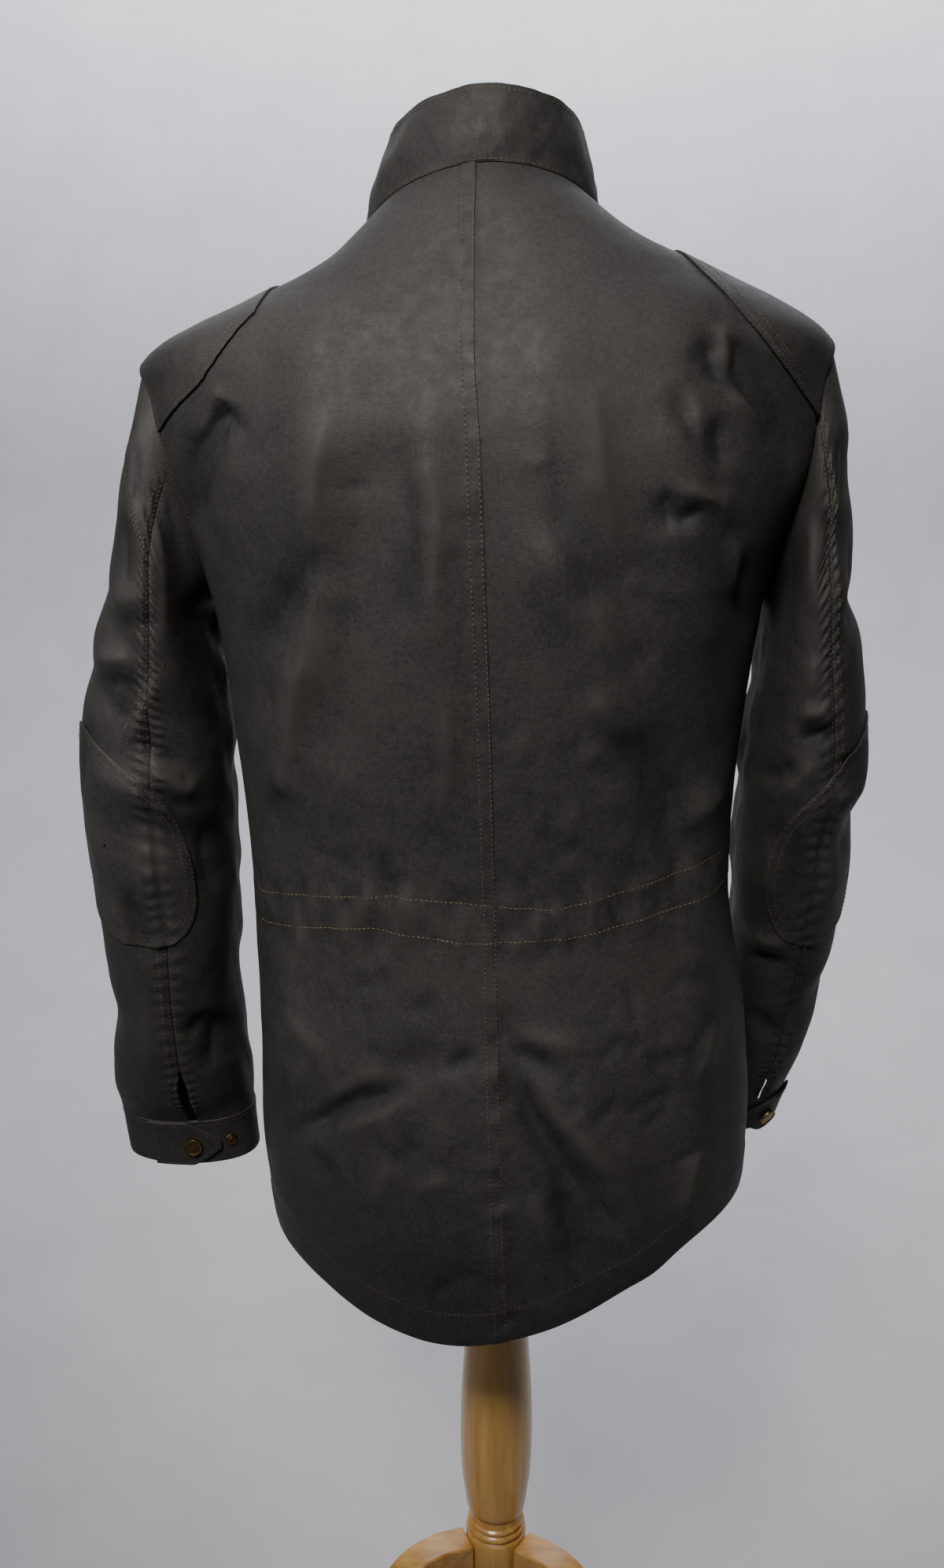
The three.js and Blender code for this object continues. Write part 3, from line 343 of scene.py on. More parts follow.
def bodySurface(angle, place):
    angle, place = np.broadcast_arrays(np.asarray(angle, float), np.asarray(place, float))
    pointAt = lambda u, v: ringPoint(bodyTable, u, v)
    point = pointAt(angle, place)
    normal = normalOf(pointAt, angle, place, 0.02, 0.05, lastLevel)
    fromEdge = np.arcsin(np.abs(np.sin(angle))) - armholeEdge(place)
    rear = point[..., 1] >= 0
    x, z = point[..., 0], point[..., 2]
    fine = np.where(rear, creaseLift(x, z, backCreases), creaseLift(x, z, frontCreases))
    fine += 0.7 * unevenness(point, 110, 3) + 0.2 * unevenness(point, 36, 4)
    fine *= smooth(0, 0.05, fromEdge) * smooth(lastLevel + 0.1, lastLevel - 0.8, place)
    # felled seam at the centre back: the left back is laid over it as a band
    seam = x - np.interp(z, [p[1] for p in backSeam[::-1]], [p[0] for p in backSeam[::-1]])
    band = rear * smooth(-0.2, 1.2, seam) * smooth(10.6, 9.2, seam)
    # waist channel and turned up hem
    inChannel = smooth(2.5, 0, lineDistance(x, z, waist["upper"])) * smooth(-2.5, 0, lineDistance(x, z, waist["lower"]))
    hemZ = ringPoint(bodyTable, angle, np.zeros_like(place))[..., 2]
    inHem = smooth(hemLift + 1.5, hemLift - 1.5, z - hemZ)
    sewn = 0.9 * band + 0.35 * inChannel + 0.7 * inHem * smooth(0, 6, z - hemZ)
    room = np.interp(place, [7.4, 9.4], [8.0, 1.0])        # the form is close under the shoulders
    lift = np.maximum(smooth(0, 0.22, fromEdge) * foldLift(point) + fine, -room) + sewn
    return point + normal * lift[..., None], normal, fine


print("stage: surface of the body worked out")


# Sleeves: outer and inner line as seen from behind and the half depth, from the head to the cuff
sleeve = {
    "columns": ("outX", "outY", "outZ", "inX", "inY", "inZ", "deep"),
    "left": [
        (250, 2, 1216, 215, 2, 1076, 68), (264, 1, 1168, 214, 1, 1050, 68), (277, 0, 1118, 210, 0, 1022, 67),
        (294, -3, 1068, 208, -3, 996, 66), (308, -6, 1020, 205, -6, 970, 66), (317, -8, 966, 206, -8, 936, 66),
        (315, -10, 894, 206, -10, 884, 63), (313, -13, 836, 207, -13, 832, 60), (311, -16, 782, 211, -16, 780, 57),
        (315, -20, 726, 208, -20, 728, 53), (318, -24, 692, 206, -24, 694, 48), (316, -26, 664, 205, -26, 666, 35),
        (311, -28, 625, 203, -28, 627, 33),
    ],
    "right": [
        (-231, 2, 1216, -191, 2, 1076, 68), (-237, 1, 1168, -190, 1, 1050, 69), (-245, 0, 1118, -187, 0, 1022, 70),
        (-252, -3, 1068, -184, -3, 996, 71), (-260, -8, 1018, -181, -8, 968, 71), (-261, -20, 958, -181, -20, 936, 70),
        (-264, -40, 894, -182, -40, 884, 66), (-264, -60, 836, -185, -60, 832, 62), (-261, -79, 778, -185, -79, 778, 59),
        (-254, -96, 730, -183, -96, 732, 57), (-248, -105, 704, -182, -105, 706, 55),
        (-243, -112, 684, -180, -112, 686, 51), (-235, -123, 648, -174, -123, 652, 48),
    ],
    "square": 2.2,
    "headEnd": 1.25,
    "seams": {"left": (104, -99), "right": (84, -112)},     # back and front seam, in degrees round the arm
    "vent": {"from": 10.1, "width": {"left": 8, "right": 3}},
    "columnsDrawn": 66,
    "rowsDrawn": 200,
}
cuffTop = len(sleeve["left"]) - 1

# Bends of each arm, as in the solids: angle round it, place along it, half sizes of both, height
sleeveFolds = {
    "left": [(92, 5.9, 34, 0.32, 6), (120, 6.5, 36, 0.3, -5), (60, 3.4, 40, 0.3, -5), (50, 4.6, 38, 0.3, -5),
             (30, 9.4, 34, 0.35, -5), (250, 5.6, 45, 0.35, -6)],
    "right": [(30, 3.4, 38, 0.3, -5), (62, 5.5, 36, 0.32, 6), (40, 6.2, 36, 0.3, -5), (45, 8.8, 36, 0.35, -5),
              (250, 5.8, 45, 0.35, -6)],
}


def armholePoint(side, turn):
    place = armhole["middle"] + armhole["reach"] * np.cos(turn)
    angle = armholeEdge(place) * np.where(np.sin(turn) >= 0, 1, -1)
    globalAngle = angle if side == "left" else math.pi - angle
    edge = ringPoint(bodyTable, globalAngle, place)
    middleAngle = 0.0 if side == "left" else math.pi
    centre = ringPoint(bodyTable, np.array([middleAngle]), np.array([armhole["middle"]]))[0]
    away = np.linalg.norm(edge - centre, axis=-1, keepdims=True)
    return edge + (centre - edge) * armhole["inset"][side] / away


def ovalsOf(side):
    rows = np.array(sleeve[side], float)
    outer, inner, deep = rows[:, 0:3], rows[:, 3:6], rows[:, 6:7]
    centre, across = (outer + inner) / 2, (outer - inner) / 2
    ahead = centre[np.minimum(np.arange(len(rows)) + 1, len(rows) - 1)]
    behind = centre[np.maximum(np.arange(len(rows)) - 1, 0)]
    depth = normalise(np.cross(ahead - behind, across))
    depth *= np.where(depth[:, 1:2] < 0, -1, 1)
    first = np.zeros((1, 3))                  # ring 0 is the armhole and has no oval
    return np.vstack([first, centre]), np.vstack([first, across]), np.vstack([first, depth * deep])


sleeveOvals = {side: ovalsOf(side) for side in ("left", "right")}


def sleevePoint(side, turn, place):
    centre, across, depth = sleeveOvals[side]
    last = len(centre) - 1
    index = np.clip(np.floor(place).astype(int), 0, last - 1)
    t = (np.clip(place, 0, last) - index)[..., None]
    power = 2 / sleeve["square"]
    cosine = signedPower(np.cos(turn), power)[..., None]
    sine = signedPower(np.sin(turn), power)[..., None]
    weights = (0.5 * (-t + 2 * t ** 2 - t ** 3), 0.5 * (2 - 5 * t ** 2 + 3 * t ** 3),
               0.5 * (t + 4 * t ** 2 - 3 * t ** 3), 0.5 * (-t ** 2 + t ** 3))
    start = armholePoint(side, turn)
    point = np.zeros(turn.shape + (3,))
    for k, weight in zip((-1, 0, 1, 2), weights):
        ring = np.clip(index + k, 0, last)
        oval = centre[ring] + across[ring] * cosine + depth[ring] * sine
        point += weight * np.where((ring == 0)[..., None], start, oval)
    return point


# Creases of the sleeves as X and Z seen from behind, as for the back
sleeveCreases = {
    "left": [
        ([(265, 1070), (225, 1075)], 8, -3.5), ([(270, 1090), (230, 1090)], 9, 2.5), ([(295, 1030), (240, 1030)], 10, -4),
        ([(290, 1045), (245, 1050)], 8, 4), ([(255, 1155), (250, 1090)], 8, -5), ([(225, 1155), (230, 1045)], 6, 3.5),
        ([(230, 1045), (260, 985)], 7, 4), ([(240, 1045), (275, 985)], 7, -4),
        ([(260, 985), (225, 950), (210, 970)], 8, 5), ([(260, 995), (220, 965)], 7, -4), ([(250, 960), (220, 930)], 7, -4),
        ([(275, 885), (260, 810)], 9, -6), ([(290, 880), (270, 810)], 8, 4), ([(225, 710), (215, 770)], 9, -6),
        ([(240, 745), (220, 770)], 8, -5), ([(270, 790), (265, 710)], 9, 4), ([(295, 940), (290, 865)], 8, 3.5),
        ([(215, 930), (215, 860)], 8, -5), ([(250, 935), (250, 865)], 10, 4), ([(295, 1005), (305, 940)], 8, -4),
        ([(260, 1205), (275, 1150)], 8, 4), ([(240, 1200), (240, 1140)], 8, -4), ([(220, 1180), (215, 1090)], 7, -4),
    ],
    "right": [
        ([(-205, 1165), (-215, 1075)], 7, 5), ([(-210, 1160), (-220, 1085)], 7, -5), ([(-195, 1160), (-200, 1075)], 7, -4),
        ([(-220, 1145), (-230, 1070)], 8, 4), ([(-235, 1150), (-245, 1060)], 8, -4), ([(-235, 1005), (-205, 1000)], 7, -5),
        ([(-235, 1020), (-205, 1015)], 8, 5), ([(-245, 995), (-245, 960)], 7, -5), ([(-210, 985), (-190, 960)], 7, -4),
        ([(-225, 990), (-200, 950)], 8, 4), ([(-190, 815), (-225, 815)], 8, -5.5), ([(-190, 830), (-225, 835)], 8, 5),
        ([(-205, 770), (-220, 735)], 8, -5.5), ([(-190, 765), (-210, 725)], 8, 4), ([(-240, 940), (-245, 850)], 9, 4),
        ([(-215, 940), (-215, 860)], 9, -4), ([(-200, 930), (-200, 865)], 8, 4), ([(-240, 825), (-230, 750)], 8, -4),
        ([(-225, 1205), (-225, 1150)], 7, -4), ([(-215, 1060), (-215, 1025)], 7, 3.5),
    ],
}


def sleeveSurface(side, turn, place):
    turn, place = np.broadcast_arrays(np.asarray(turn, float), np.asarray(place, float))
    pointAt = lambda u, v: sleevePoint(side, u, v)
    point = pointAt(turn, place)
    normal = normalOf(pointAt, turn, place, 0.03, 0.06, cuffTop + 1)
    if side == "left":
        normal = -normal
    degrees = np.degrees(turn)
    lift = np.zeros(point.shape[:-1])
    for angle, middle, turnSize, run, height in sleeveFolds[side]:
        off = (degrees - angle + 540) % 360 - 180
        lift += height * np.exp(-(off / turnSize) ** 2 - ((place - middle) / run) ** 2)
    facing = smooth(-0.15, 0.25, np.sin(turn))
    fine = facing * creaseLift(point[..., 0], point[..., 2], sleeveCreases[side])
    fine += 0.6 * unevenness(point, 60, 7) + 0.2 * unevenness(point, 24, 8)
    # the rear seam lies in a small trough with puckers on both sides
    fromSeam = (degrees - sleeve["seams"][side][0] + 540) % 360 - 180       # about a millimetre a degree
    wave = np.sin(place * 30 + 2.5 * unevenness(point, 60, 35))
    fine += 0.9 * wave * np.exp(-((np.abs(fromSeam) - 6) / 5) ** 2) - 1.6 * np.exp(-(fromSeam / 3) ** 2)
    hidden = 1 - facing
    fine += hidden * 1.6 * unevenness(point, 42, 9) * smooth(0.5, 2, place)
    fine *= smooth(0, 0.8, place) * smooth(cuffTop + 0.02, cuffTop - 0.5, place)
    point = point + normal * (lift + fine)[..., None]
    # near the armhole the wall turns towards the body's own normal
    blend = np.maximum(0, 1 - place / 0.4)
    bodyAngle = armhole["angle"] * np.sin(turn)
    bodyPlace = armhole["middle"] + armhole["reach"] * np.cos(turn)
    if side == "right":
        bodyAngle = math.pi - bodyAngle
    bodyNormal = normalOf(lambda u, v: ringPoint(bodyTable, u, v), bodyAngle, bodyPlace, 0.02, 0.05, lastLevel)
    agree = np.maximum(0, (bodyNormal * normal).sum(axis=-1))
    share = (blend * np.minimum(1, 1.6 * agree))[..., None]
    return point, normalise(normal * (1 - share) + bodyNormal * share), fine


print("stage: surface of the sleeves worked out")


# Collar, from the neck seam to its upper edge
collar = {
    "columns": body["columns"],
    "rows": {
        "seam": (1333.6, 1359.6, 1306.6, 80, 72, 80, 2, 11.6, 8, -5, 0, 1.3),
        "roll": (1354, 1377, 1328, 77, 71, 80, 2, 11, 7, -3, 0, 1.4),
        "stand": (1375, 1393, 1352, 70, 66, 79, 2, 10, 3, 0, 0, 1.5),
        "edge": (1395, 1407, 1372, 63, 60, 77, 2, 8.5, 0, 1, 0, 1.5),
    },
    "wall": 3.2,
    "opening": 1.2,         # half of the gap at the centre front
    "columnsDrawn": 240,
    "rowsDrawn": 26,
}
collarTable = columnsOf(collar)
collarTop = len(collar["rows"]) - 1


def collarSurface(angle, place):
    angle, place = np.broadcast_arrays(np.asarray(angle, float), np.asarray(place, float))
    pointAt = lambda u, v: ringPoint(collarTable, u, v)
    point = pointAt(angle, place)
    normal = normalOf(pointAt, angle, place, 0.02, 0.05, collarTop)
    fine = 0.8 * unevenness(point, 46, 21) + 0.35 * unevenness(point, 15, 22)
    fine *= smooth(0, 0.4, place)
    return point + normal * fine[..., None], normal, fine


# Meshes: a grid of spots becomes a wall with an outside, an inside and rounded edges
def gridLengths(point):
    across = np.linalg.norm(np.diff(point, axis=1), axis=2)
    up = np.linalg.norm(np.diff(point, axis=0), axis=2)
    u = np.concatenate([np.zeros((point.shape[0], 1)), np.cumsum(across, axis=1)], axis=1)
    v = np.concatenate([np.zeros((1, point.shape[1])), np.cumsum(up, axis=0)], axis=0)
    return u - u[:, u.shape[1] // 2][:, None], v


def makeMesh(name, points, faces, uv=None, ridge=None, sharp=50):
    mesh = bpy.data.meshes.new(name)
    mesh.from_pydata(((points + shift) / 1000).tolist(), [], faces)
    mesh.polygons.foreach_set("use_smooth", np.ones(len(mesh.polygons), bool))
    if uv is not None:
        corners = np.zeros(len(mesh.loops), int)
        mesh.loops.foreach_get("vertex_index", corners)
        layer = mesh.uv_layers.new(name="cloth")
        layer.data.foreach_set("uv", (uv[corners] / 1000).astype(np.float32).ravel())
    if ridge is not None:
        mesh.attributes.new("ridge", "FLOAT", "POINT").data.foreach_set("value", ridge.astype(np.float32))
    mesh.set_sharp_from_angle(angle=math.radians(sharp))
    mesh.update()
    made = bpy.data.objects.new(name, mesh)
    bpy.context.scene.collection.objects.link(made)
    return made


def shell(name, spots, outside, inside, ring=False, rim=0.35, centre=False):
    # spots are point, normal and ridge height in rows and columns; centre leaves the first row open, with no edge round
    # it
    point, normal, fine = spots
    rows, columns = fine.shape
    outer, inner = point + normal * outside, point + normal * inside
    u, v = gridLengths(point)

    def edgeLine(row, beside):
        return (outer[row] + inner[row]) / 2 + normalise(point[row] - point[beside]) * rim

    order = list(range(rows)) + [rows - 1] + list(range(rows - 1, -1, -1))
    lines = list(outer) + [edgeLine(-1, -2)] + list(inner[::-1])
    if not centre:
        lines.append(edgeLine(0, 1))
        order.append(0)
    lines = np.array(lines)
    count = len(lines)
    around = np.arange(count if not centre else count - 1)
    along = np.arange(columns if ring else columns - 1)
    low = (around[:, None] * columns + along[None, :]).ravel()
    nextLine = (((around + 1) % count)[:, None] * columns + along[None, :]).ravel()
    nextBoth = (((around + 1) % count)[:, None] * columns + ((along + 1) % columns)[None, :]).ravel()
    beside = (around[:, None] * columns + ((along + 1) % columns)[None, :]).ravel()
    faces = np.stack([low, beside, nextBoth, nextLine], axis=1).tolist()
    if not ring:
        for c, turn in ((0, 1), (columns - 1, -1)):
            for r in range(rows - 1):
                a, b = r * columns + c, (r + 1) * columns + c
                d, e = (2 * rows - r) * columns + c, (2 * rows - r - 1) * columns + c
                faces.append([a, b, e, d][::turn])
            top = [(rows - 1) * columns + c, rows * columns + c, (rows + 1) * columns + c]
            low = [2 * rows * columns + c, (2 * rows + 1) * columns + c, c]
            faces.append(top[::turn])
            faces.append(low[::turn])
    r, c = rows // 2, columns // 2
    facing = np.cross(point[r, c + 1] - point[r, c], point[r + 1, c] - point[r, c]) @ normal[r, c]
    if facing < 0:
        faces = [face[::-1] for face in faces]
    uv = np.stack([u[order].ravel(), v[order].ravel()], axis=1)
    return makeMesh(name, lines.reshape(-1, 3), faces, uv, fine[order].ravel())


def weld(obj, distance=0.00002):
    work = bmesh.new()
    work.from_mesh(obj.data)
    bmesh.ops.remove_doubles(work, verts=work.verts, dist=distance)
    work.to_mesh(obj.data)
    work.free()
    return obj


def wear(obj, finish, slotName, *nodes):
    obj.data.materials.append(finish)
    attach(obj, "root")
    if nodes:
        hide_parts(*nodes)
    return obj


# Finding the spots of a surface that lie at given positions in a view along out
backView = {"right": np.array([1.0, 0, 0]), "up": np.array([0, 0, 1.0]), "out": np.array([0, 1.0, 0])}
frontView = {"right": np.array([1.0, 0, 0]), "up": np.array([0, 0, 1.0]), "out": np.array([0, -1.0, 0])}


def findSpots(surface, ranges, view, targets, origin=np.zeros(3)):
    (lowU, highU), (lowV, highV) = ranges
    gridU, gridV = np.meshgrid(np.linspace(lowU, highU, 90), np.linspace(lowV, highV, 110), indexing="ij")
    point, normal, fine = surface(gridU, gridV)
    seen = np.stack([(point - origin) @ view["right"], (point - origin) @ view["up"]], axis=-1)
    hidden = (normal @ view["out"]) < 0.05
    targets = np.asarray(targets, float)
    u, v = np.zeros(len(targets)), np.zeros(len(targets))
    for i, target in enumerate(targets):
        away = np.hypot(*(seen - target).transpose(2, 0, 1)) + 400 * hidden
        best = np.unravel_index(np.argmin(away), away.shape)
        u[i], v[i] = gridU[best], gridV[best]
    stepU, stepV = 0.004, 0.02

    def look(a, b):
        spot = surface(a, b)[0] - origin
        return np.stack([spot @ view["right"], spot @ view["up"]], axis=-1)

    for _ in range(7):
        now = look(u, v)
        byU = (look(u + stepU, v) - now) / stepU
        byV = (look(u, v + stepV) - now) / stepV
        miss = targets - now
        det = byU[:, 0] * byV[:, 1] - byU[:, 1] * byV[:, 0]
        det = np.where(np.abs(det) < 1e-3, 1e-3, det)
        moveU = (miss[:, 0] * byV[:, 1] - miss[:, 1] * byV[:, 0]) / det
        moveV = (byU[:, 0] * miss[:, 1] - byU[:, 1] * miss[:, 0]) / det
        u = np.clip(u + np.clip(moveU, -0.06, 0.06), lowU, highU)
        v = np.clip(v + np.clip(moveV, -0.25, 0.25), lowV, highV)
    for _ in range(3):
        now = look(u, v)
        byV = (look(u, v + stepV) - now) / stepV
        v = np.clip(v + ((targets - now) * byV).sum(axis=1) / (byV ** 2).sum(axis=1), lowV, highV)
    return u, v


def resample(path, every):
    path = np.array(path, float)
    runs = np.concatenate([[0], np.cumsum(np.linalg.norm(np.diff(path, axis=0), axis=1))])
    s = np.linspace(0, runs[-1], max(2, int(runs[-1] / every) + 1))
    return np.stack([np.interp(s, runs, path[:, k]) for k in range(path.shape[1])], axis=1)


# Stitches: short rounded threads laid end to end along sewn lines
stitch = {"pitch": 3.4, "length": 2.5, "halfWidth": 0.32, "height": 0.28}


def sewLine(surface, u, v, lift):
    point, normal, fine = surface(u, v)
    return point + normal * lift, normal


def sewPath(surface, ranges, view, path, lift):
    u, v = findSpots(surface, ranges, view, resample(path, 6))
    return sewLine(surface, u, v, lift)


def sewRows(name, rows, finish):
    points, faces = [], []
    ring = np.array([(-1, 0), (0, 1), (1, 0), (0, -0.6)])
    for line, normals in rows:
        runs = np.concatenate([[0], np.cumsum(np.linalg.norm(np.diff(line, axis=0), axis=1))])
        starts = np.arange(0.5, runs[-1] - stitch["length"], stitch["pitch"])
        if not len(starts):
            continue

        def at(s, values):
            return np.stack([np.interp(s, runs, values[:, k]) for k in range(3)], axis=1)

        begin, end = at(starts, line), at(starts + stitch["length"], line)
        out = normalise(at(starts, normals))
        side = normalise(np.cross(end - begin, out))
        for i in range(len(starts)):
            base = len(points)
            points.append(begin[i] - out[i] * 0.25)
            for share in (0.22, 0.78):
                middle = begin[i] + (end[i] - begin[i]) * share
                for w, h in ring:
                    points.append(middle + side[i] * w * stitch["halfWidth"] + out[i] * h * stitch["height"])
            points.append(end[i] - out[i] * 0.25)
            for k in range(4):
                n = (k + 1) % 4
                faces.append((base, base + 1 + n, base + 1 + k))
                faces.append((base + 1 + k, base + 1 + n, base + 5 + n, base + 5 + k))
                faces.append((base + 5 + k, base + 5 + n, base + 9))
    made = makeMesh(name, np.array(points), faces, sharp=80)
    return wear(made, finish, "waxed_cotton")


print("stage: mesh and sewing tools ready")


# Materials
def linear(code):
    values = [int(code[i:i + 2], 16) / 255 for i in (1, 3, 5)]
    return [c / 12.92 if c <= 0.04045 else ((c + 0.055) / 1.055) ** 2.4 for c in values] + [1.0]


def addNode(tree, kind, settings=None, links=None):
    made = tree.nodes.new(kind)
    for name, value in (settings or {}).items():
        if isinstance(name, int) or name in made.inputs:
            made.inputs[name].default_value = value
        else:
            setattr(made, name, value)
    for name, source in (links or {}).items():
        tree.links.new(source, made.inputs[name])
    return made


def newMaterial(name):
    made = bpy.data.materials.new(name)
    made.use_nodes = True
    tree = made.node_tree
    tree.nodes.clear()
    return made, tree


def finishMaterial(tree, settings, links):
    shader = addNode(tree, "ShaderNodeBsdfPrincipled", settings, links)
    addNode(tree, "ShaderNodeOutputMaterial", links={"Surface": shader.outputs["BSDF"]})


waxedCotton = {
    "dark": "#171615",      # darkest random tone, also the painted shade in the crease troughs
    "middle": "#201f1d",
    "worn": "#302e2b",      # palest random tone, also the painted highlight on the crease ridges
    "blotch": 60,           # mm across a cloud of thicker wax
    "mottle": 9,
    "fleck": 2.4,           # lint and dust caught in the wax, coarser than the real 1 so that it shows
    "thread": 0.9,          # mm, coarser than the real 0.4 so that it shows at this image size
    "roughness": (0.60, 0.78),
}


def waxedMaterial(name, shades, roughness, seed):
    # proofed cotton, dressed with wax by hand: the base colour is painted lighter on the crease ridges and darker in
    # the troughs, a painted highlight and painted shade
    made, tree = newMaterial(name)
    place = addNode(tree, "ShaderNodeTexCoord").outputs["Object"]
    cloth = addNode(tree, "ShaderNodeUVMap", {"uv_map": "cloth"}).outputs["UV"]
    ridge = addNode(tree, "ShaderNodeAttribute", {"attribute_name": "ridge"}).outputs["Fac"]
    moved = addNode(tree, "ShaderNodeVectorMath", {"operation": "ADD", 1: (seed, seed * 1.7, 0.3)}, {0: place})
    blotch = addNode(tree, "ShaderNodeTexNoise", {"Scale": 1000 / waxedCotton["blotch"], "Detail": 4.0,
                                                 "Roughness": 0.6}, {"Vector": moved.outputs[0]})
    mottle = addNode(tree, "ShaderNodeTexNoise", {"Scale": 1000 / waxedCotton["mottle"], "Detail": 6.0,
                                                 "Roughness": 0.7}, {"Vector": moved.outputs[0]})
    fine = 1000 / waxedCotton["thread"]
    warp = addNode(tree, "ShaderNodeMapping", {"Scale": (fine, fine / 14, 1)}, {"Vector": cloth})
    weft = addNode(tree, "ShaderNodeMapping", {"Scale": (fine / 14, fine, 1)}, {"Vector": cloth})
    warpSlub = addNode(tree, "ShaderNodeTexNoise", {"Scale": 1.0, "Detail": 2.0}, {"Vector": warp.outputs[0]})
    weftSlub = addNode(tree, "ShaderNodeTexNoise", {"Scale": 1.0, "Detail": 2.0}, {"Vector": weft.outputs[0]})
    weave = addNode(tree, "ShaderNodeMath", {"operation": "ADD"},
                    {0: warpSlub.outputs["Fac"], 1: weftSlub.outputs["Fac"]})
    flecks = addNode(tree, "ShaderNodeTexNoise", {"Scale": 1000 / waxedCotton["fleck"], "Detail": 3.0,
                                                 "Roughness": 0.8}, {"Vector": moved.outputs[0]})
    # crease height of the mesh drives the colour: painted shade in the troughs, painted highlight on the ridges
    paintedCreaseShade = addNode(tree, "ShaderNodeMapRange", {"From Min": -2.5, "From Max": 3.5}, {"Value": ridge})
    clouded = addNode(tree, "ShaderNodeMath", {"operation": "MULTIPLY_ADD", 1: 0.35, 2: -0.2},
                      {0: blotch.outputs["Fac"]})
    speckled = addNode(tree, "ShaderNodeMath", {"operation": "MULTIPLY_ADD", 1: 0.55},
                       {0: mottle.outputs["Fac"], 2: clouded.outputs[0]})
    woven = addNode(tree, "ShaderNodeMath", {"operation": "MULTIPLY_ADD", 1: 0.25},
                    {0: weave.outputs[0], 2: speckled.outputs[0]})
    linty = addNode(tree, "ShaderNodeMath", {"operation": "MULTIPLY_ADD", 1: 1.6, 2: -0.8},
                    {0: flecks.outputs["Fac"]})
    dusted = addNode(tree, "ShaderNodeMath", {"operation": "ADD"}, {0: linty.outputs[0], 1: woven.outputs[0]})
    shade = addNode(tree, "ShaderNodeMath", {"operation": "MULTIPLY_ADD", 1: 0.55, "use_clamp": True},
                    {0: paintedCreaseShade.outputs[0], 2: dusted.outputs[0]})
    ramp = addNode(tree, "ShaderNodeValToRGB", links={"Fac": shade.outputs[0]})
    stops = ramp.color_ramp.elements
    stops[0].position, stops[0].color = 0.15, linear(shades[0])
    stops[1].position, stops[1].color = 0.95, linear(shades[2])
    middleStop = stops.new(0.5)
    middleStop.color = linear(shades[1])
    dull = addNode(tree, "ShaderNodeMapRange", {"From Min": 0.3, "From Max": 0.7, "To Min": roughness[0],
                                               "To Max": roughness[1]}, {"Value": mottle.outputs["Fac"]})
    crumple = addNode(tree, "ShaderNodeTexNoise", {"noise_type": "RIDGED_MULTIFRACTAL", "Scale": 16.0,
                                                  "Detail": 3.0, "Roughness": 0.5, "Distortion": 0.8},
                      {"Vector": moved.outputs[0]})
    softBump = addNode(tree, "ShaderNodeBump", {"Strength": 0.8, "Distance": 0.0009},
                       {"Height": crumple.outputs["Fac"]})
    bump = addNode(tree, "ShaderNodeBump", {"Strength": 0.55, "Distance": 0.00025},
                   {"Height": weave.outputs[0], "Normal": softBump.outputs["Normal"]})
    finishMaterial(tree, {"Specular IOR Level": 0.4},
                   {"Base Color": ramp.outputs["Color"], "Roughness": dull.outputs[0], "Normal": bump.outputs["Normal"]})
    return made


shellCloth = waxedMaterial("waxed cotton, hand dressed",
                           (waxedCotton["dark"], waxedCotton["middle"], waxedCotton["worn"]),
                           waxedCotton["roughness"], 0.0)
# the patch cloth has the same painted shade in its crease troughs and painted highlight on its ridges
patchCloth = waxedMaterial("waxed cotton, second layer rubbed smooth",
                           ("#181716", "#232220", "#34322f"), (0.56, 0.74), 3.1)


def plainMaterial(name, shades, scale, roughness, bumpDistance, metal=0.0, detail=5.0, stretch=(1, 1, 1), coat=0.0):
    # one noise drives the tone, the gloss and the relief together
    made, tree = newMaterial(name)
    place = addNode(tree, "ShaderNodeTexCoord").outputs["Object"]
    turned = addNode(tree, "ShaderNodeMapping", {"Scale": stretch}, {"Vector": place})
    grain = addNode(tree, "ShaderNodeTexNoise", {"Scale": scale, "Detail": detail, "Roughness": 0.6},
                    {"Vector": turned.outputs[0]})
    ramp = addNode(tree, "ShaderNodeValToRGB", links={"Fac": grain.outputs["Fac"]})
    stops = ramp.color_ramp.elements
    stops[0].position, stops[0].color = 0.32, linear(shades[0])
    stops[1].position, stops[1].color = 0.68, linear(shades[1])
    gloss = addNode(tree, "ShaderNodeMapRange", {"From Min": 0.3, "From Max": 0.7, "To Min": roughness[0],
                                                "To Max": roughness[1]}, {"Value": grain.outputs["Fac"]})
    bump = addNode(tree, "ShaderNodeBump", {"Strength": 0.7, "Distance": bumpDistance},
                   {"Height": grain.outputs["Fac"]})
    finishMaterial(tree, {"Metallic": metal, "Coat Weight": coat, "Coat Roughness": 0.12},
                   {"Base Color": ramp.outputs["Color"], "Roughness": gloss.outputs[0],
                    "Normal": bump.outputs["Normal"]})
    return made


thread = plainMaterial("waxed cotton thread, twisted", ("#3a352b", "#504939"), 900, (0.5, 0.7), 0.0001)
tanThread = plainMaterial("cotton thread, unwaxed", ("#5d5038", "#7a6a4c"), 900, (0.6, 0.8), 0.0001)
brass = plainMaterial("brass, pressed and left to tarnish", ("#5c4c30", "#8f7a50"), 420, (0.28, 0.46), 0.0001, 1.0)
linen = plainMaterial("linen, stretched and stapled", ("#b9b0a0", "#cfc7b8"), 700, (0.8, 0.92), 0.0003)
pine = plainMaterial("pine, turned, sanded and varnished", ("#bd8842", "#e2b468"), 9, (0.3, 0.42), 0.0002,
                     stretch=(9, 9, 0.7), coat=0.5)
board = plainMaterial("pine board, planed and varnished", ("#b68240", "#dcac60"), 16, (0.32, 0.45), 0.0002,
                      stretch=(1.2, 9, 9), coat=0.4)
paper = plainMaterial("cotton backdrop, ironed", ("#a9a8a7", "#b0afae"), 6, (0.9, 0.96), 0.0002)
print("stage: materials made")


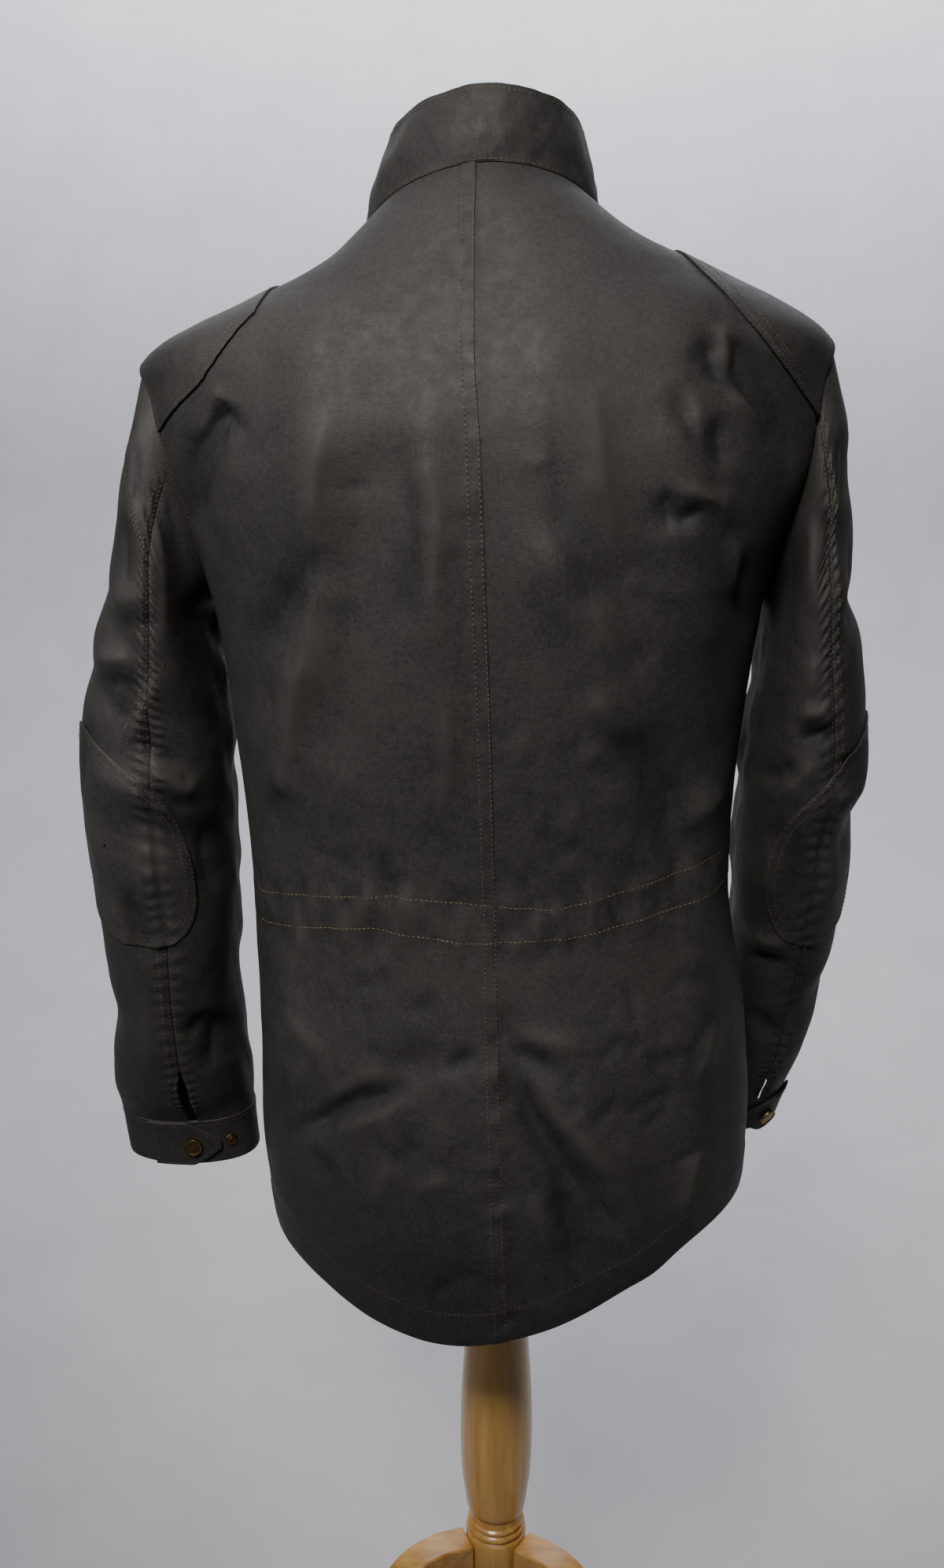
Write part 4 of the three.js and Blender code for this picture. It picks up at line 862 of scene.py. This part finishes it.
# Back and front panels
def panelGrid(side, face):
    count, columns = body["drawn"][face]
    place = np.linspace(0, lastLevel - 0.004, count)[:, None]
    square = sampleColumn(bodyTable["square"], place)
    wide = sampleColumn(bodyTable["wide"], place)
    depth = sampleColumn(bodyTable["rear" if face == "rear" else "fore"], place)
    middle = math.pi / 2 - edgeAngle(body["gap"] / 2, wide, square)
    outer = np.maximum(armholeEdge(place), edgeAngle(body["gap"] / 2, depth, square))
    f = np.linspace(0, 1, columns)[None, :]
    angle = middle + (outer - middle) * f
    return sideAngle(side, angle if face == "rear" else -angle), place


def sideAngle(side, angle):
    return angle if side == "left" else math.pi - angle


sheets = {}


def nameSheet(obj):
    sheets[obj.name] = obj
    return obj


for side in ("left", "right"):
    for face, word in (("rear", "back"), ("fore", "front")):
        angle, place = panelGrid(side, face)
        panel = shell(f"cloth_{word}_{side}", bodySurface(angle, place), 0, -body["wall"])
        nameSheet(wear(panel, shellCloth, "waxed_cotton", f"{word}_{side}"))
print("stage: panels made")

# Collar
around = np.linspace(-math.pi / 2 + 0.016, 3 * math.pi / 2 - 0.016, collar["columnsDrawn"])[None, :]
up = np.linspace(0, collarTop, collar["rowsDrawn"])[:, None]
made = shell("cloth_collar", collarSurface(around, up), 0, -collar["wall"], rim=1.2)
nameSheet(wear(made, shellCloth, "waxed_cotton", "collar"))

# Front placket: a strip over both fronts along the closing edge
placket = {"half": 27, "gap": 0.35, "wall": 2.0}


def placketSurface(across, place):
    wide = sampleColumn(bodyTable["wide"], place)
    square = sampleColumn(bodyTable["square"], place)
    turn = np.sign(across) * edgeAngle(np.abs(across), wide, square)
    return bodySurface(-math.pi / 2 + turn, place)


across = np.linspace(-placket["half"], placket["half"], 26)[None, :]
up = np.linspace(0, lastLevel - 0.3, 240)[:, None]
spots = placketSurface(across, np.broadcast_to(up, (240, 26)))
made = shell("cloth_placket", spots, placket["gap"] + placket["wall"], placket["gap"], rim=0.7)
nameSheet(wear(made, shellCloth, "waxed_cotton", "front_placket"))

# Shoulder patches: from a straight edge across the shoulder out to the armhole, on both faces
shoulderPatch = {
    "left": [(140, 1310), (145, 1270), (180, 1230), (225, 1200)],
    "right": [(-100, 1330), (-215, 1200)],
    "gap": 0.35, "wall": 1.2,
}


def patchAcross(side, height):
    # where the inner edge of the patch runs at a height
    line = np.array(shoulderPatch[side][::-1], float)
    below = (height - line[0, 1]) * (line[1, 0] - line[0, 0]) / (line[1, 1] - line[0, 1]) * (height < line[0, 1])
    return np.interp(height, line[:, 1], line[:, 0]) + below


def patchHalf(side, face, rows, columns):
    sign = 1 if side == "left" else -1
    search = np.linspace(0.001, math.pi / 2, 260)
    places = np.linspace(armhole["middle"] - armhole["reach"], lastLevel - 0.01, 700)
    angle = sideAngle(side, search if face == "rear" else -search)
    point = ringPoint(bodyTable, np.broadcast_to(angle, (700, 260)), np.broadcast_to(places[:, None], (700, 260)))
    beyond = sign * (point[..., 0] - patchAcross(side, point[..., 2])) > 0
    cross = np.where(beyond.any(axis=1), search[np.maximum(0, beyond.shape[1] - 1 - beyond[:, ::-1].argmax(axis=1))], 0)
    edge = np.maximum(armholeEdge(places), 0.0)
    wide = cross > edge + 0.004
    first, last = np.flatnonzero(wide)[[0, -1]]
    place = np.linspace(places[first], places[last], rows)
    cross = np.interp(place, places, cross)
    edge = np.interp(place, places, edge) + 0.004 * (place < armhole["middle"] + armhole["reach"])
    f = np.linspace(0, 1, columns)[None, :]
    angle = edge[:, None] + np.maximum(cross - edge, 0.0008)[:, None] * f
    return sideAngle(side, angle if face == "rear" else -angle), place[:, None]


def shoulderSpots(side, face):
    return bodySurface(*patchHalf(side, face, 110, 44))


for side in ("left", "right"):
    halves = []
    for face in ("rear", "fore"):
        half = shell(f"cloth_shoulder_patch_{side}_{face}", shoulderSpots(side, face),
                     shoulderPatch["gap"] + shoulderPatch["wall"], shoulderPatch["gap"], rim=0.2)
        nameSheet(wear(half, patchCloth, "waxed_cotton_patch", f"shoulder_patch_{side}"))
print("stage: collar, placket and shoulder patches made")


# Sleeves: head and top sleeve on the outer side, under sleeve on the inner side
def sleeveGrid(side, piece):
    rear, fore = sleeve["seams"][side]
    levels = {"head": (0, sleeve["headEnd"] - 0.004), "top": (sleeve["headEnd"] + 0.004, cuffTop - 0.004),
              "under": (0, cuffTop - 0.004)}[piece]
    fromAngle, toAngle = (rear, fore + 360) if piece == "under" else (fore, rear)
    count = 34 if piece == "head" else sleeve["rowsDrawn"]
    place = np.linspace(*levels, count)[:, None]
    gap = body["gap"] / 2 / 60
    opening = np.clip((place - sleeve["vent"]["from"]) / 0.5, 0, 1) * sleeve["vent"]["width"][side] / 2 / 60
    start = math.radians(fromAngle) + gap + (opening if piece == "under" else 0)
    end = math.radians(toAngle) - gap - (0 if piece == "under" else opening)
    return start + (end - start) * np.linspace(0, 1, sleeve["columnsDrawn"])[None, :], place


for side in ("left", "right"):
    for piece, node, finish in (("head", f"sleeve_head_{side}", patchCloth), ("top", f"top_sleeve_{side}", shellCloth),
                                ("under", f"under_sleeve_{side}", shellCloth)):
        made = shell(f"cloth_{node}", sleeveSurface(side, *sleeveGrid(side, piece)), 0, -body["wall"])
        slotName = "waxed_cotton_patch" if piece == "head" else "waxed_cotton"
        nameSheet(wear(made, finish, slotName, node))
print("stage: sleeves made")

# Elbow patches: a leaning oval seen square on to the sleeve
elbowPatch = {
    "left": {"angle": 68, "place": 6.7, "half": (66, 84), "lean": -0.38},
    "right": {"angle": 50, "place": 6.3, "half": (62, 88), "lean": 0.25},
    "gap": 0.35, "wall": 1.2,
}


def armView(side, degrees, place):
    surface = lambda u, v: sleeveSurface(side, u, v)
    turn = np.array([math.radians(degrees)])
    point, normal, fine = surface(turn, np.array([place]))
    upward = sleevePoint(side, turn, np.array([place - 0.3])) - sleevePoint(side, turn, np.array([place + 0.3]))
    right = normalise(np.cross(upward, normal))
    return surface, {"right": right[0], "up": np.cross(normal, right)[0], "out": normal[0]}, point[0]


def elbowEdge(shape, turn, share=1.0):
    x = shape["half"][0] * signedPower(np.cos(turn), 0.85)
    y = shape["half"][1] * signedPower(np.sin(turn), 0.85) + shape["lean"] * x
    return np.stack([x * share, y * share], axis=-1)


def onArm(side, shape, targets):
    # the cut of the patch is laid round the sleeve: across by the way round it, up and down by the way along it
    surface = lambda u, v: sleeveSurface(side, u, v)
    centre = math.radians(shape["angle"])
    turn = centre + np.linspace(-2.2, 2.2, 200)
    ring = sleevePoint(side, turn, np.full(200, float(shape["place"])))
    way = np.concatenate([[0], np.cumsum(np.linalg.norm(np.diff(ring, axis=0), axis=1))])
    way -= np.interp(centre, turn, way)
    ends = sleevePoint(side, np.array([centre, centre]), np.array([shape["place"] - 0.5, shape["place"] + 0.5]))
    across = targets[..., 0] * (1 if side == "left" else -1)
    return surface, np.interp(across, way, turn), shape["place"] - targets[..., 1] / np.linalg.norm(ends[0] - ends[1])


elbowLines = {}
for side in ("left", "right"):
    shape = elbowPatch[side]
    turns = np.linspace(0, 2 * math.pi, 97)[:-1]
    targets = np.stack([elbowEdge(shape, turns, share) for share in np.linspace(0.015, 1, 34)])
    surface, u, v = onArm(side, shape, targets)
    made = shell(f"cloth_elbow_patch_{side}", surface(u, v), elbowPatch["gap"] + elbowPatch["wall"],
                 elbowPatch["gap"], ring=True, rim=0.5, centre=True)
    nameSheet(wear(made, patchCloth, "waxed_cotton_patch", f"elbow_patch_{side}"))
    elbowLines[side] = (surface, u, v)

# Cuffs with a pointed tab, a snap cap and a stud
cuff = {
    "out": 0.5, "gap": 0.35, "wall": 2.6,
    "left": {"angle": 92, "rear": -24, "square": 6, "tip": 31, "snap": 101, "stud": 136},
    "right": {"angle": 56, "rear": -20, "square": 5, "tip": 25, "snap": 63, "stud": 118},
    "tabHalf": 20, "tabTip": 3,
}


def cuffSurface(side, turn, place):
    turn, place = np.broadcast_arrays(np.asarray(turn, float), np.asarray(place, float))
    point, normal, fine = sleeveSurface(side, turn, place)
    ripple = 0.5 * unevenness(point, 34, 31)
    return point + normal * ripple[..., None], normal, ripple


for side in ("left", "right"):
    turn = np.linspace(0, 2 * math.pi, 161)[None, :-1]
    up = np.linspace(cuffTop + 0.006, cuffTop + 1, 30)[:, None]
    made = shell(f"cloth_cuff_{side}", cuffSurface(side, turn, up), cuff["out"], cuff["out"] - cuff["wall"],
                 ring=True, rim=0.9)
    nameSheet(wear(made, shellCloth, "waxed_cotton", f"cuff_{side}"))
    tab = cuff[side]
    sign = -1 if side == "right" else 1
    x = np.linspace(tab["rear"], tab["tip"], 34)[None, :]
    half = np.interp(x, [tab["rear"], tab["square"], tab["tip"]], [cuff["tabHalf"], cuff["tabHalf"], cuff["tabTip"]])
    y = np.linspace(-1, 1, 26)[:, None] * half
    targets = np.stack([sign * np.broadcast_to(x, y.shape), y], axis=-1)
    shape = {"angle": tab["angle"], "place": cuffTop + 0.5}
    _, u, v = onArm(side, shape, targets)
    spots = cuffSurface(side, u, v)
    inside = cuff["out"] + cuff["gap"]
    made = shell(f"cloth_cuff_tab_{side}", spots, inside + cuff["wall"], inside, rim=0.9)
    nameSheet(wear(made, shellCloth, "waxed_cotton", f"cuff_tab_{side}"))
print("stage: elbow patches, cuffs and tabs made")

# Sewn lines
def patchLift(side, point):
    # how high the shoulder patch stands over a spot of a panel
    sign = 1 if side == "left" else -1
    beyond = sign * (point[:, 0] - patchAcross(side, point[:, 2])) > 0
    return beyond * (shoulderPatch["gap"] + shoulderPatch["wall"])


backRange = ((0.06, math.pi - 0.06), (0, lastLevel))
frontRange = ((-math.pi + 0.06, -0.06), (0, lastLevel))
onThread = 0.15         # stitches stand this far out of the cloth


def backRow(path, lift=onThread):
    return sewPath(bodySurface, backRange, backView, path, lift)


def frontRow(path, lift=onThread):
    return sewPath(bodySurface, frontRange, frontView, path, lift)


def besideSeam(distance):
    return [(x + distance, z) for x, z in backSeam]


def hemRow(fromAngle, toAngle, rowOf):
    angle = np.linspace(fromAngle, toAngle, 60)
    edge = bodySurface(angle, np.zeros_like(angle))[0]
    return rowOf(np.stack([edge[:, 0], edge[:, 2] + hemLift], axis=1))


def armholeRow(side, away):
    turn = np.linspace(-math.pi, math.pi, 260)
    place = armhole["middle"] + (armhole["reach"] + away / 46) * np.cos(turn)
    angle = (armhole["angle"] + away / 205) * np.sin(turn)
    angle = sideAngle(side, angle)
    point, normal, fine = bodySurface(angle, place)
    return point + normal * (patchLift(side, point) + onThread)[:, None], normal


def patchRow(side, rowOf, away):
    line = np.array(shoulderPatch[side], float)
    sign = 1 if side == "left" else -1
    height = np.linspace(line[0, 1] - 8, line[-1, 1] + 6, 40)
    across = patchAcross(side, height)
    slope = np.gradient(across, height)
    outward = np.stack([np.ones(40), -slope], axis=1) / np.hypot(1, slope)[:, None] * sign
    ends = np.stack([across, height], axis=1) + outward * away
    return rowOf(ends, shoulderPatch["gap"] + shoulderPatch["wall"] + onThread)


sewRows("thread_back_seam", [backRow(besideSeam(1.7)), backRow(besideSeam(9.0))], thread)
sewRows("thread_waist", [backRow(waist["upper"]), backRow(waist["lower"])], tanThread)
sewRows("thread_hem", [hemRow(0.1, math.pi - 0.1, backRow), hemRow(-math.pi + 0.1, -0.1, frontRow)], thread)
sewRows("thread_front_waist", [frontRow([(-160, 905), (-60, 890), (60, 880), (165, 862)]),
                               frontRow([(-160, 880), (-60, 864), (60, 854), (165, 836)])], tanThread)
for side in ("left", "right"):
    sewRows(f"thread_armhole_{side}", [armholeRow(side, 2.2), armholeRow(side, 7.5)], thread)
    sewRows(f"thread_shoulder_patch_{side}", [patchRow(side, rowOf, away) for rowOf in (backRow, frontRow)
                                              for away in (1.8, 6.6)], thread)

angle = np.linspace(-math.pi / 2 + 0.05, 3 * math.pi / 2 - 0.05, 500)
edge = np.linspace(0.12, 2.7, 40)
collarRows = [sewLine(collarSurface, angle, np.full(500, place), onThread) for place in (0.14, 2.7)]
collarRows += [sewLine(collarSurface, np.full(40, at), edge, onThread) for at in (angle[0], angle[-1])]
sewRows("thread_collar", collarRows, thread)

up = np.linspace(0.05, lastLevel - 0.4, 300)
rows = [sewLine(placketSurface, np.full(300, across), up, placket["gap"] + placket["wall"] + onThread)
        for across in (-24.6, -18.5, 18.5, 24.6)]
sewRows("thread_placket", rows, thread)


def armRow(side, degrees, fromPlace, toPlace, away=0.0):
    # along the arm beside a seam; past the start of the vent the row keeps beside its edge
    place = np.linspace(fromPlace, toPlace, 260)
    opening = np.clip((place - sleeve["vent"]["from"]) / 0.5, 0, 1) * sleeve["vent"]["width"][side] / 2
    turn = math.radians(degrees) + (away + np.sign(away) * opening) / 60
    return sewLine(lambda u, v: sleeveSurface(side, u, v), turn, place, onThread)


def ringRow(surface, place, lift, fromTurn=0.0, toTurn=2 * math.pi):
    turn = np.linspace(fromTurn, toTurn, 240)
    return sewLine(surface, turn, np.full(240, place), lift)


elbowDart = {"left": [(228, 1047), (247, 1013), (262, 984)], "right": []}
for side in ("left", "right"):
    rear, fore = sleeve["seams"][side]
    arm = lambda u, v: sleeveSurface(side, u, v)
    rows = [armRow(side, rear, 0.2, cuffTop - 0.05, away) for away in (-2.0, -7.5, 2.0)]
    rows += [armRow(side, fore, 0.2, cuffTop - 0.05, away) for away in (2.0, 7.5)]
    rows += [ringRow(arm, sleeve["headEnd"] + step, onThread, math.radians(fore), math.radians(rear))
             for step in (-0.05, 0.06)]
    armRange = ((0.1, math.pi - 0.1), (0, cuffTop))
    for away in (0, 6):
        if elbowDart[side]:
            path = [(x + away * 0.8, z + away * 0.5) for x, z in elbowDart[side]]
            rows.append(sewPath(arm, armRange, backView, path, onThread))
    sewRows(f"thread_sleeve_{side}", rows, thread)
    surface, u, v = elbowLines[side]
    lift = elbowPatch["gap"] + elbowPatch["wall"] + onThread
    rows = []
    for ring in (-2, -5):
        rows.append(sewLine(surface, np.append(u[ring], u[ring, 0]), np.append(v[ring], v[ring, 0]), lift))
    sewRows(f"thread_elbow_patch_{side}", rows, thread)
    around = lambda u, v: cuffSurface(side, u, v)
    rows = [ringRow(around, cuffTop + place, cuff["out"] + onThread) for place in (0.1, 0.9)]
    sewRows(f"thread_cuff_{side}", rows, thread)
    tab = cuff[side]
    sign = -1 if side == "right" else 1
    outline = [(tab["rear"] + 3, -17), (tab["square"] - 1, -17), (tab["tip"] - 3.2, -2.2), (tab["tip"] - 3.2, 2.2),
               (tab["square"] - 1, 17), (tab["rear"] + 3, 17), (tab["rear"] + 3, -17)]
    targets = np.array(resample([(sign * x, y) for x, y in outline], 3), float)
    _, u, v = onArm(side, {"angle": tab["angle"], "place": cuffTop + 0.5}, targets)
    lift = cuff["out"] + cuff["gap"] + cuff["wall"] + onThread
    sewRows(f"thread_cuff_tab_{side}", [sewLine(around, u, v, lift)], thread)
print("stage: seams sewn")

# Snap caps with a rolled rim, and studs: profiles as radius and height
snapCap = {"radius": 7.5, "profile": [(0, 2.5), (2.6, 2.6), (4.6, 2.45), (5.5, 2.2), (5.9, 2.35), (6.5, 2.9), (7.0, 3.0),
                                      (7.4, 2.5), (7.5, 1.6), (7.3, 0.5), (7.0, 0.0)]}
stud = {"radius": 5, "profile": [(0, 0.9), (1.4, 1.0), (1.7, 2.2), (2.6, 2.4), (3.1, 2.1), (3.3, 1.0), (4.2, 0.8),
                                 (4.8, 0.6), (5, 0.3), (4.9, 0.0)]}


def lathe(name, profile, around, centre, axis):
    # a profile of radius and height turned about an axis, closed where its radius is 0
    axis = normalise(np.asarray(axis, float))
    side = normalise(np.cross(axis, [0.3, 0.2, 0.9] if abs(axis[2]) < 0.9 else [1, 0, 0]))
    other = np.cross(axis, side)
    turn = np.linspace(0, 2 * math.pi, around + 1)[:-1]
    points, faces = [], []
    for radius, height in profile:
        points += [centre + axis * height + radius * (side * math.cos(t) + other * math.sin(t)) for t in turn]
    for r in range(len(profile) - 1):
        for i in range(around):
            n = (i + 1) % around
            faces.append((r * around + i, (r + 1) * around + i, (r + 1) * around + n, r * around + n))
    faces.append([(len(profile) - 1) * around + i for i in range(around)])
    made = makeMesh(name, np.array(points), faces, sharp=35)
    weld(made, 0.000002)
    work = bmesh.new()
    work.from_mesh(made.data)
    bmesh.ops.recalc_face_normals(work, faces=work.faces)
    work.to_mesh(made.data)
    work.free()
    return made


def spotOf(surface, u, v):
    point, normal, fine = surface(np.array([u]), np.array([v]))
    return point[0], normal[0]


for i in range(6):
    point, normal = spotOf(bodySurface, -math.pi / 2 + 0.06, 0.5 + 1.9 * i)
    made = lathe(f"snap_front_{i + 1}", snapCap["profile"], 40, point + normal * 3.0, normal)
    wear(made, brass, "brass", f"front_snap_{i + 1}")
for side in ("left", "right"):
    surface = lambda u, v: cuffSurface(side, u, v)
    point, normal = spotOf(surface, math.radians(cuff[side]["snap"]), cuffTop + 0.5)
    lift = cuff["out"] + 2.5 * cuff["gap"] + cuff["wall"]
    made = lathe(f"snap_cuff_{side}", snapCap["profile"], 40, point + normal * lift, normal)
    wear(made, brass, "brass", f"cuff_snap_{side}")
    point, normal = spotOf(surface, math.radians(cuff[side]["stud"]), cuffTop + 0.5)
    made = lathe(f"stud_cuff_{side}", stud["profile"], 32, point + normal * (cuff["out"] + cuff["gap"]), normal)
    wear(made, brass, "brass", f"cuff_stud_{side}")
print("stage: snaps and studs made")

# Dress form inside the jacket: the body's own rings set inwards, rounded below, with a plain neck
form = {
    "inset": 11, "shoulderInset": 4, "insetFrom": 7.6, "insetTo": 9.4, "bottom": 655.4, "lowest": 1.25,
    "neckBase": 1330,
    "neck": [(12, 62, 56, 58), (40, 52, 50, 50), (56, 44, 42, 42)],     # rise, half width, rear, fore
    "around": 120, "rings": 120,
}


def formRings():
    angle = np.linspace(0, 2 * math.pi, form["around"] + 1)[:-1]

    def inset(place):
        pointAt = lambda u, v: ringPoint(bodyTable, u, v)
        places = np.full_like(angle, place)
        share = smooth(form["insetFrom"], form["insetTo"], place)
        depth = form["inset"] + (form["shoulderInset"] - form["inset"]) * share
        return pointAt(angle, places) - depth * normalOf(pointAt, angle, places, 0.02, 0.05, lastLevel)

    base = inset(form["lowest"])
    rings = []
    for share, rise, keep in ((0.45, 0, 0), (0.66, 0.2, 0), (0.74, 1.6, 0.01), (0.82, 4.2, 0.04), (0.93, 9.5, 0.12)):
        ring = base * [share, share, 0]
        ring[:, 2] = form["bottom"] + rise + keep * (base[:, 2] - form["bottom"])
        rings.append(ring)
    rings += [inset(place) for place in np.linspace(form["lowest"], lastLevel, form["rings"])]
    neck = body["rows"]["neck"]
    for rise, wide, rear, fore in form["neck"]:
        depth = np.where(np.sin(angle) > 0, rear, fore)
        tilt = (neck[1] - neck[2]) / 2 * np.sin(angle) * (1 - rise / 90)
        rings.append(np.stack([neck[7] - rise * 0.06 + wide * np.cos(angle), depth * np.sin(angle),
                               form["neckBase"] + rise + tilt], axis=1))
    rings.append(rings[-1] * [1, 1, 1] + (rings[-1].mean(axis=0) - rings[-1]) * 0.12 + [0, 0, 0.6])
    return rings


rings = formRings()
points = np.concatenate(rings)
count = form["around"]
faces = [(r * count + i, r * count + (i + 1) % count, (r + 1) * count + (i + 1) % count, (r + 1) * count + i)
         for r in range(len(rings) - 1) for i in range(count)]
faces.append(list(range(count))[::-1])
faces.append([(len(rings) - 1) * count + i for i in range(count)])
made = makeMesh("form_torso", points, faces, sharp=50)
wear(made, linen, "linen", "dress_form")

# Turned column: profile as radius and height, with rounded beads
turning = [
    (0, 0), (23, 0), (25, 1.6), (26, 5), (26, 60), (26, 104), (26, 118), (25.4, 119.4), (23.4, 120.4), (22, 121.6),
    (23.2, 122.6), (24.8, 123.8), (25.1, 125), (24.6, 126.4), (22.6, 127.6), (22, 128.4), (23.2, 129.4), (24, 130.8),
    (23.6, 132.6), (22, 134), (21.5, 137), (21.6, 141), (23, 142.6), (24.6, 144.4), (25.4, 148), (26, 152), (27.4, 164),
    (29, 176), (30, 194), (30.5, 215), (30.2, 240), (29.5, 260), (28.4, 280), (27, 300), (25.6, 325), (24.5, 350),
    (23.6, 390), (23, 428), (24, 431), (29, 438), (30, 440.5), (30, 484), (29, 486.4), (0, 486.4),
]
centre = np.array([stand["axisX"], 0, stand["foot"]])
made = lathe("column_turned", turning, 96, centre, (0, 0, 1))
wear(made, pine, "pine", "column")

# Legs sawn from board: outline as distance from the axis and height above the hub's underside
legOutline = {
    "upper": [(26.4, 118), (60, 121), (88, 110), (108, 84), (118, 46), (130, -8), (150, -62), (184, -112), (226, -142),
              (262, -150)],
    "foot": [(278, -158), (278, -168), (232, -168)],
    "under": [(198, -160), (156, -136), (120, -96), (98, -50), (82, -8), (64, 18), (44, 28), (26.4, 27)],
}


def spline(path, every):
    path = np.array(path, float)
    table = {k: path[:, k] for k in (0, 1)}
    place = np.linspace(0, len(path) - 1, every * (len(path) - 1) + 1)
    return np.stack([sampleColumn(table[k], place) for k in (0, 1)], axis=1)


def makeLeg(name, degrees):
    outline = np.concatenate([spline(legOutline["upper"], 6), legOutline["foot"], spline(legOutline["under"], 6)])
    turn = math.radians(degrees)
    out = np.array([math.cos(turn), math.sin(turn), 0])
    side = np.array([-out[1], out[0], 0])
    flat = outline[:, :1] * out + outline[:, 1:] * np.array([0, 0, 1.0]) + centre
    half = stand["legThickness"] / 2
    points = np.concatenate([flat - side * half, flat + side * half])
    count = len(outline)
    faces = [list(range(count)), list(range(count, 2 * count))[::-1]]
    faces += [(i, i + count, (i + 1) % count + count, (i + 1) % count) for i in range(count)]
    made = makeMesh(name, points, faces, sharp=40)
    work = bmesh.new()
    work.from_mesh(made.data)
    bmesh.ops.recalc_face_normals(work, faces=work.faces)
    work.to_mesh(made.data)
    work.free()
    edge = made.modifiers.new("sanded edge", "BEVEL")
    edge.width = stand["woodEdge"] / 1000
    edge.segments = 3
    edge.limit_method = "ANGLE"
    return made


for i, degrees in enumerate(stand["legTurns"]):
    wear(makeLeg(f"leg_sawn_{i + 1}", degrees), board, "pine", f"leg_{i + 1}")
print("stage: dress form and stand made")


# Floor, light and world
studio = {"depth": 2.6, "rise": 4.5, "bend": 1.2, "half": 7.0}


def addSweep():
    # floor that curves up behind the object, so that no line crosses the picture
    profile = [(6.0, 0.0), (-studio["depth"] + studio["bend"], 0.0)]
    for k in range(1, 13):
        t = math.pi / 2 * k / 12
        profile.append((-studio["depth"] + studio["bend"] * (1 - math.sin(t)), studio["bend"] * (1 - math.cos(t))))
    profile.append((-studio["depth"], studio["rise"]))
    points = [(x * 1000, y * 1000, z * 1000) for y, z in profile for x in (-studio["half"], studio["half"])]
    faces = [(2 * i, 2 * i + 1, 2 * i + 3, 2 * i + 2) for i in range(len(profile) - 1)]
    made = makeMesh("sweep", np.array(points), faces, sharp=80)
    made.data.materials.append(paper)


addSweep()


def addLight(name, place, aim, size, power, colour="#ffffff", spread=180):
    data = bpy.data.lights.new(name, "AREA")
    data.shape = "RECTANGLE"
    data.size, data.size_y = size
    data.energy = power
    data.spread = math.radians(spread)
    data.color = linear(colour)[:3]
    lamp = bpy.data.objects.new(name, data)
    lamp.location = place
    lamp.rotation_euler = (Vector(aim) - Vector(place)).to_track_quat("-Z", "Y").to_euler()
    bpy.context.scene.collection.objects.link(lamp)


addLight("key", (0.28, 1.3, 2.3), (0.05, 0.15, 1.14), (0.75, 0.65), 3.4, "#fffaf5", spread=38)
addLight("fill", (1.5, 1.0, 1.7), (0.2, 0, 1.1), (0.8, 1.0), 0.9, "#f4f7ff", spread=60)
addLight("backdrop", (0, -1.1, 3.9), (0, -2.8, 2.9), (4.0, 0.8), 395, "#f1f3ff")
world = bpy.data.worlds.new("studio")
world.use_nodes = True
world.node_tree.nodes["Background"].inputs["Color"].default_value = linear("#dfe2e6")
world.node_tree.nodes["Background"].inputs["Strength"].default_value = 0.035
bpy.context.scene.world = world
print("stage: light set")
